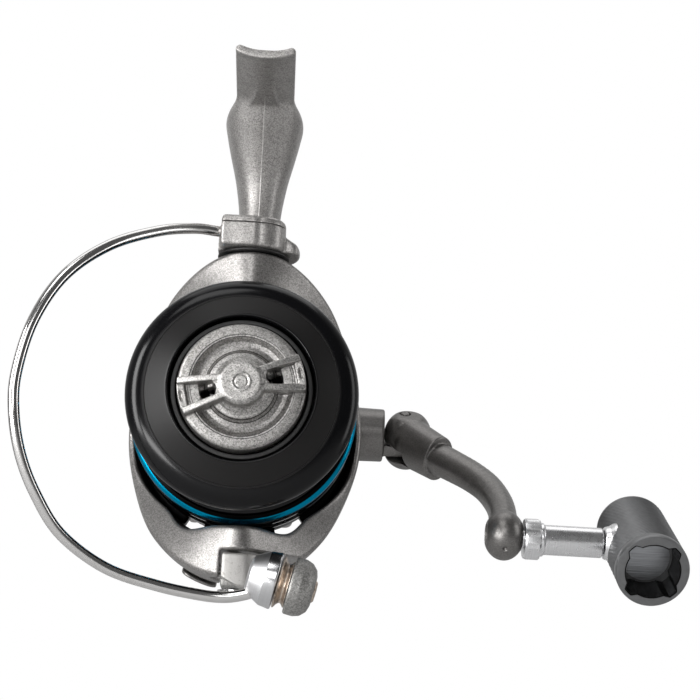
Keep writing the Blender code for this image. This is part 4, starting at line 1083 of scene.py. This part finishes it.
def build_case():
    moulded("stem_and_foot", stem_field, (-9.6, 7.0, 14.8), (9.6, 84.6, 82.4), 0.34,
            "stem_paint", "case")
    moulded("gear_case", case_field, (-19.2, 45.0, -16.2), (16.4, 107.2, 27.2), 0.42,
            "silver_paint", "case", ["body_housing"])
    moulded("side_cover_plate", cover_field, (-17.8, 52.4, -16.2), (-10.9, 107.2, 27.2), 0.36,
            "silver_paint", "case", ["side_cover"])
    moulded("rear_cover_cap", rear_cover_field, (-10.8, 106.3, -10.3), (10.8, 111.8, 10.3), 0.3,
            "gunmetal", "case", ["rear_cover"])


# ---- handle


def in_crank_plane(x, along, up=0.0):
    return DRIVE + X_AXIS * x + CRANK_DIR * along + FOLD_AXIS * up


ARM_ROUTE = [(47.0, 12.4), (50.4, 16.4), (54.4, 21.6), (57.6, 27.6), (59.4, 34.5), (60.0, 41.0),
             (59.5, 48.0)]


def handle_arm_field(p, q, r):
    """The arm in its own plane: p along X, q along the crank and r along the fold axis."""
    upper = span(p - FOLD_X - 0.95, q - 0.95, (r - 1.0) * 0.95) - 5.9
    upper = soft_max(upper, np.maximum(r - 6.3, -0.9 - r), 0.5)
    lower = span(p - FOLD_X - 0.75, q - 0.75, r + 2.4) - 5.7
    lower = soft_max(lower, np.maximum(-8.1 - r, r + 4.75), 0.4)
    start = rods(p, q, r * 0.8, [(41.2, 4.4, 0.0), (47.0, 12.4, 0.0)], [5.0, 4.55], 0.5)
    sleeve = soft_max(start, ((p - 47.0) * 0.6 + (q - 12.4) * 0.8), 0.25)
    route = smooth_path([(a, b, 0.0) for a, b in ARM_ROUTE], 4)
    count = len(route)
    radii = [3.95 - 0.75 * min(1.0, i / (count * 0.8)) for i in range(count)]
    tube = rods(p, q, r, [tuple(v) for v in route], radii, 0.15)
    found = soft_min(soft_min(upper, lower, 0.3), sleeve, 0.6)
    found = soft_min(found, tube, 0.12)
    ball = span((p - CRANK_X) / 0.82, q - CRANK_LENGTH, r) - 5.6
    ball = soft_max(ball, np.abs(p - CRANK_X) - 4.3, 0.5)
    found = soft_min(found, ball * 0.9, 0.25)
    gap = block(p, q, r, (36.9, -1.9, -2.85), (9.8, 10.2, 1.85), 0.15)
    found = soft_max(found, -gap, 0.15)
    found = np.maximum(found, 1.4 - span(p - FOLD_X, q))
    rivet = span(p - CRANK_X + 0.2, q - CRANK_LENGTH - 5.5, r + 0.6) - 0.5
    found = soft_max(found, -rivet, 0.1)
    return np.maximum(found, 2.3 - span(q - CRANK_LENGTH, r))


def shank_field(x, y, z):
    drive = from_drive(y, z)
    profile = [(0, 17.35), (6.1, 17.35), (6.75, 17.9), (6.85, 18.4), (6.55, 33.35), (6.35, 33.7),
               (0, 33.7)]
    body = polygon_field(drive, x, profile)
    place = place_at(in_crank_plane(FOLD_X, 0), FOLD_AXIS, X_AXIS)
    u, v, w = local(place, x, y, z)
    tongue = np.maximum(np.where(u < 0, np.abs(v), span(u, v)) - 3.15, -9.0 - u)
    tongue = soft_max(tongue, np.abs(w + 2.85) - 1.5, 0.3)
    found = soft_min(body, tongue, 0.5)
    return np.maximum(found, 1.5 - span(u, v))


def build_handle():
    moulded("handle_shank_turned", shank_field, (16.9, 65.6, -0.6), (42.6, 80.4, 13.8), 0.28,
            "gunmetal", "drive", ["handle_shank"])
    points, quads = field_surface(handle_arm_field, (31.6, -6.8, -8.6), (64.2, 58.4, 7.4), 0.28)
    basis = np.array([list(X_AXIS), list(CRANK_DIR), list(FOLD_AXIS)])
    world = points @ basis + np.array(list(DRIVE))
    # The basis is left-handed, so each face is listed the other way round.
    from_arrays("handle_arm_casting", world, quads[:, ::-1], "gunmetal", "arm",
                ["handle_arm"])
    tongue_place = place_at(in_crank_plane(FOLD_X, 0), FOLD_AXIS, X_AXIS)
    pin = [(0, -8.2), (1.1, -8.2), (1.1, 6.2), (0.9, 6.45), (0, 6.5)]
    lathe("fold_pin_turned", pin, tongue_place, 32, 0.2, "gunmetal", "arm",
          ["fold_pin"], closed=False)

    along = place_at(SPINDLE - Z_AXIS * 0.5, X_AXIS, CRANK_DIR)
    spindle = [(0, 56.0), (1.95, 56.0), (1.95, 67.3), (3.7, 67.3), (3.75, 68.0), (3.4, 68.25),
               (3.35, 68.6),
               (3.35, 81.1), (3.1, 81.35), (1.55, 81.4), (1.55, 93.6), (0, 93.6)]
    lathe("knob_spindle_turned", spindle, along, 64, 0.15, "bright_aluminium", "arm",
          ["knob_spindle"], closed=False)

    def eight_sided(radius):
        return lambda turn: min(radius, 4.45 / math.cos((turn % (math.tau / 8)) - math.pi / 8))

    nut = [round_loop(along, eight_sided(radius), x, 60)
           for x, radius in ((63.75, 4.3), (64.15, 4.75), (66.9, 4.75), (67.3, 4.3))]
    from_bmesh("spindle_lock_nut", lofted(nut), "bright_aluminium", "arm",
               ["spindle_nut"], 25)
    build_knob(along)


KNOB_HALF = 14.0
KNURL_ROWS = 164
KNOB_SIDES = 240
HOLLOW_FLOOR = 5.0


def knurl(height, row):
    """Return the knob's radius: rings four rows apart, crossed by slanted ridges."""
    def radius_at(turn):
        ring = math.sin(math.tau * (height + KNOB_HALF - 0.8) / (4 * row))
        return 7.93 + 0.085 * ring + 0.03 * math.sin(turn * 60 + height * 2.5)
    return radius_at


def notched(inset=0.0):
    """Return the radius of the knob's hollow end, which has four notches."""
    def radius_at(turn):
        corner = abs(turn % (math.pi / 2) - math.pi / 4)
        return 6.15 + 1.05 * max(0.0, min(1.0, (0.3 - corner) / 0.16)) - inset
    return radius_at


def build_knob(along):
    """The knob: a diamond-knurled sleeve, a plain rim and a hollow end with four notches."""
    place = place_at(SPINDLE + X_AXIS * (KNOB_X + 0.3) - Z_AXIS * 1.4, KNOB_AXIS, X_AXIS)
    half = KNOB_HALF
    row = (2 * half - 3.4) / (KNURL_ROWS - 1)
    near = ((6.1, 1.2), (6.3, 0.1), (7.5, 0.0), (7.95, 0.3))
    far = ((7.85, 2.4), (8.05, 2.1), (8.05, 0.5), (7.8, 0.06), (7.6, 0.0))
    heights = [-half + 0.8 + row * k for k in range(KNURL_ROWS)]
    outline = [(plain(radius), -half + inset) for radius, inset in near]
    outline += [(knurl(height, row), height) for height in heights]
    outline += [(plain(radius), half - inset) for radius, inset in far]
    outline += [(notched(), height) for height in (half, half - 0.5, HOLLOW_FLOOR)]
    sleeve = lofted([round_loop(place, radius_at, height, KNOB_SIDES) for radius_at, height in outline])
    from_bmesh("handle_knob_sleeve", sleeve, "knurled_grey", "grip", ["handle_knob"], 40)
    flange = [(2.75, 81.65), (3.4, 81.65), (3.6, 81.9), (3.9, 82.9), (4.5, 83.8), (4.6, 84.4),
              (2.75, 84.4)]
    lathe("knob_flange", flange, along, 64, 0.15, "bright_aluminium", "grip")
    # Painted shade: a near-black sheet just inside the hollow end's walls darkens them as shadow would.
    low, high = HOLLOW_FLOOR + 0.05, half - 0.15
    shade_sheet = [(0.04, low), (0.04, high), (0.3, half - 0.1), (0.3, low)]
    loops = [round_loop(place, notched(inset), height, KNOB_SIDES) for inset, height in shade_sheet]
    from_bmesh("knob_hollow_shade", lofted(loops, closed=True), "hollow_shade_black", "grip")
    disc = [(0, 5.02), (5.3, 5.02), (5.3, 5.2), (0, 5.2)]
    from_bmesh("knob_hollow_floor", turned(disc, place, 64), "knob_floor", "grip")


# ---- the CAD nodes that stay


CAD_EDGE = 0.12
STAYING = {
    "steel": ("cover_screw_1", "cover_screw_2", "cover_screw_3", "handle_side_bearing",
              "cover_side_bearing", "pinion_bearing", "clutch_retainer", "guide_rod_upper",
              "guide_rod_lower", "oscillation_stud", "rotor_nut", "bail_spring", "bail_arm_screw",
              "bail_holder_screw", "main_shaft", "slider_screw", "drag_metal_washer_1",
              "drag_metal_washer_2", "drag_retaining_ring", "drag_spring"),
    "zinc": ("one_way_clutch", "oscillation_slider", "spool_washer", "click_ratchet", "drive_gear"),
    "brass": ("pinion_gear", "roller_bush", "spool_bush", "drag_nut", "oscillation_gear"),
    "fibre": ("drag_fibre_washer_1", "drag_fibre_washer_2", "drag_fibre_washer_3"),
    "gunmetal": ("shaft_cap",),
    "moulded_black": ("anti_reverse_lever",),
}


def dress_cad_nodes():
    for material, names in STAYING.items():
        for name in names:
            node = NODES[name]
            node.data.materials.clear()
            node.data.materials.append(MATERIALS[material])
            edge = node.modifiers.new("edges", "BEVEL")
            edge.width = CAD_EDGE * MM
            edge.segments = 2
            edge.limit_method = "ANGLE"
            edge.angle_limit = math.radians(40)


# ---- light, floor and camera


FLOOR_Z = -0.21


def aim(obj, target):
    direction = Vector(target) - obj.location
    obj.rotation_euler = direction.to_track_quat("-Z", "Y").to_euler()


def build_studio():
    scene = bpy.context.scene
    world = bpy.data.worlds.new("studio")
    scene.world = world
    world.use_nodes = True
    tree = world.node_tree
    tree.nodes.clear()
    output, mix, lit, seen, path, place, parts, blend = (
        tree.nodes.new("ShaderNode" + kind)
        for kind in ("OutputWorld", "MixShader", "Background", "Background", "LightPath",
                     "TexCoord", "SeparateXYZ", "Math"))
    seen.inputs["Color"].default_value = (1, 1, 1, 1)
    blend.operation = "MULTIPLY"
    link = tree.links.new
    link(place.outputs["Generated"], parts.inputs[0])
    link(map_range(tree, parts.outputs["Y"], (-0.35, 0.75), (0.12, 0.8)), blend.inputs[0])
    link(map_range(tree, parts.outputs["Z"], (-0.6, 0.3), (0.25, 1.0)), blend.inputs[1])
    link(blend.outputs[0], lit.inputs["Strength"])
    link(path.outputs["Is Camera Ray"], mix.inputs["Fac"])
    link(lit.outputs[0], mix.inputs[1])
    link(seen.outputs[0], mix.inputs[2])
    link(mix.outputs[0], output.inputs["Surface"])

    lights = (
        ("key_left", (-0.56, -0.36, 0.02), (0.20, 0.50), 3.8),
        ("key_top", (-0.16, -0.42, 0.42), (0.30, 0.24), 0.7),
        ("side_right", (0.56, -0.10, 0.02), (0.16, 0.46), 0.55),
        ("low_left", (-0.30, -0.50, -0.17), (0.24, 0.10), 1.1),
        ("front", (-0.10, -0.60, 0.05), (0.34, 0.26), 0.75),
        ("top", (0.0, 0.05, 0.55), (0.7, 0.4), 1.0),
    )
    for name, location, size, power in lights:
        data = bpy.data.lights.new(name, "AREA")
        data.shape = "RECTANGLE"
        data.size, data.size_y = size
        data.energy = power
        lamp = bpy.data.objects.new(name, data)
        lamp.location = location
        scene.collection.objects.link(lamp)
        aim(lamp, (0.02, -0.02, -0.08))

    bm = bmesh.new()
    reach = 3.0
    corners = ((-1, -1), (1, -1), (1, 1), (-1, 1))
    bm.faces.new([bm.verts.new((x * reach, y * reach, FLOOR_Z)) for x, y in corners])
    mesh = bpy.data.meshes.new("floor")
    bm.to_mesh(mesh)
    bm.free()
    floor = bpy.data.objects.new("floor", mesh)
    scene.collection.objects.link(floor)
    pale = bpy.data.materials.new("pale_floor")
    pale.use_nodes = True
    shader = pale.node_tree.nodes["Principled BSDF"]
    shader.inputs["Base Color"].default_value = (0.62, 0.62, 0.62, 1)
    shader.inputs["Roughness"].default_value = 0.8
    mesh.materials.append(pale)

    scene.view_settings.view_transform = "Standard"
    scene.view_settings.look = "None"


def build_camera():
    """Stand in front of and a little below the reel, with the axes of the fitted pinhole camera."""
    right = Vector((0.997753, -0.0435793, 0.0508899))
    up = Vector((-0.0596328, -0.2313665, 0.9710373))
    ahead = Vector((0.0305429, 0.9718901, 0.2334454))
    data = bpy.data.cameras.new("camera")
    data.lens = 89.9
    data.sensor_width = 36.0
    camera = bpy.data.objects.new("camera", data)
    rotation = Matrix((right, up, -ahead)).transposed().to_4x4()
    camera.matrix_world = Matrix.Translation((0.0107987, -0.397959, -0.155270)) @ rotation
    bpy.context.scene.collection.objects.link(camera)
    bpy.context.scene.camera = camera


build_spool()
build_drag_knob()
build_rotor()
build_bail()
build_case()
build_handle()
dress_cad_nodes()
build_studio()
build_camera()
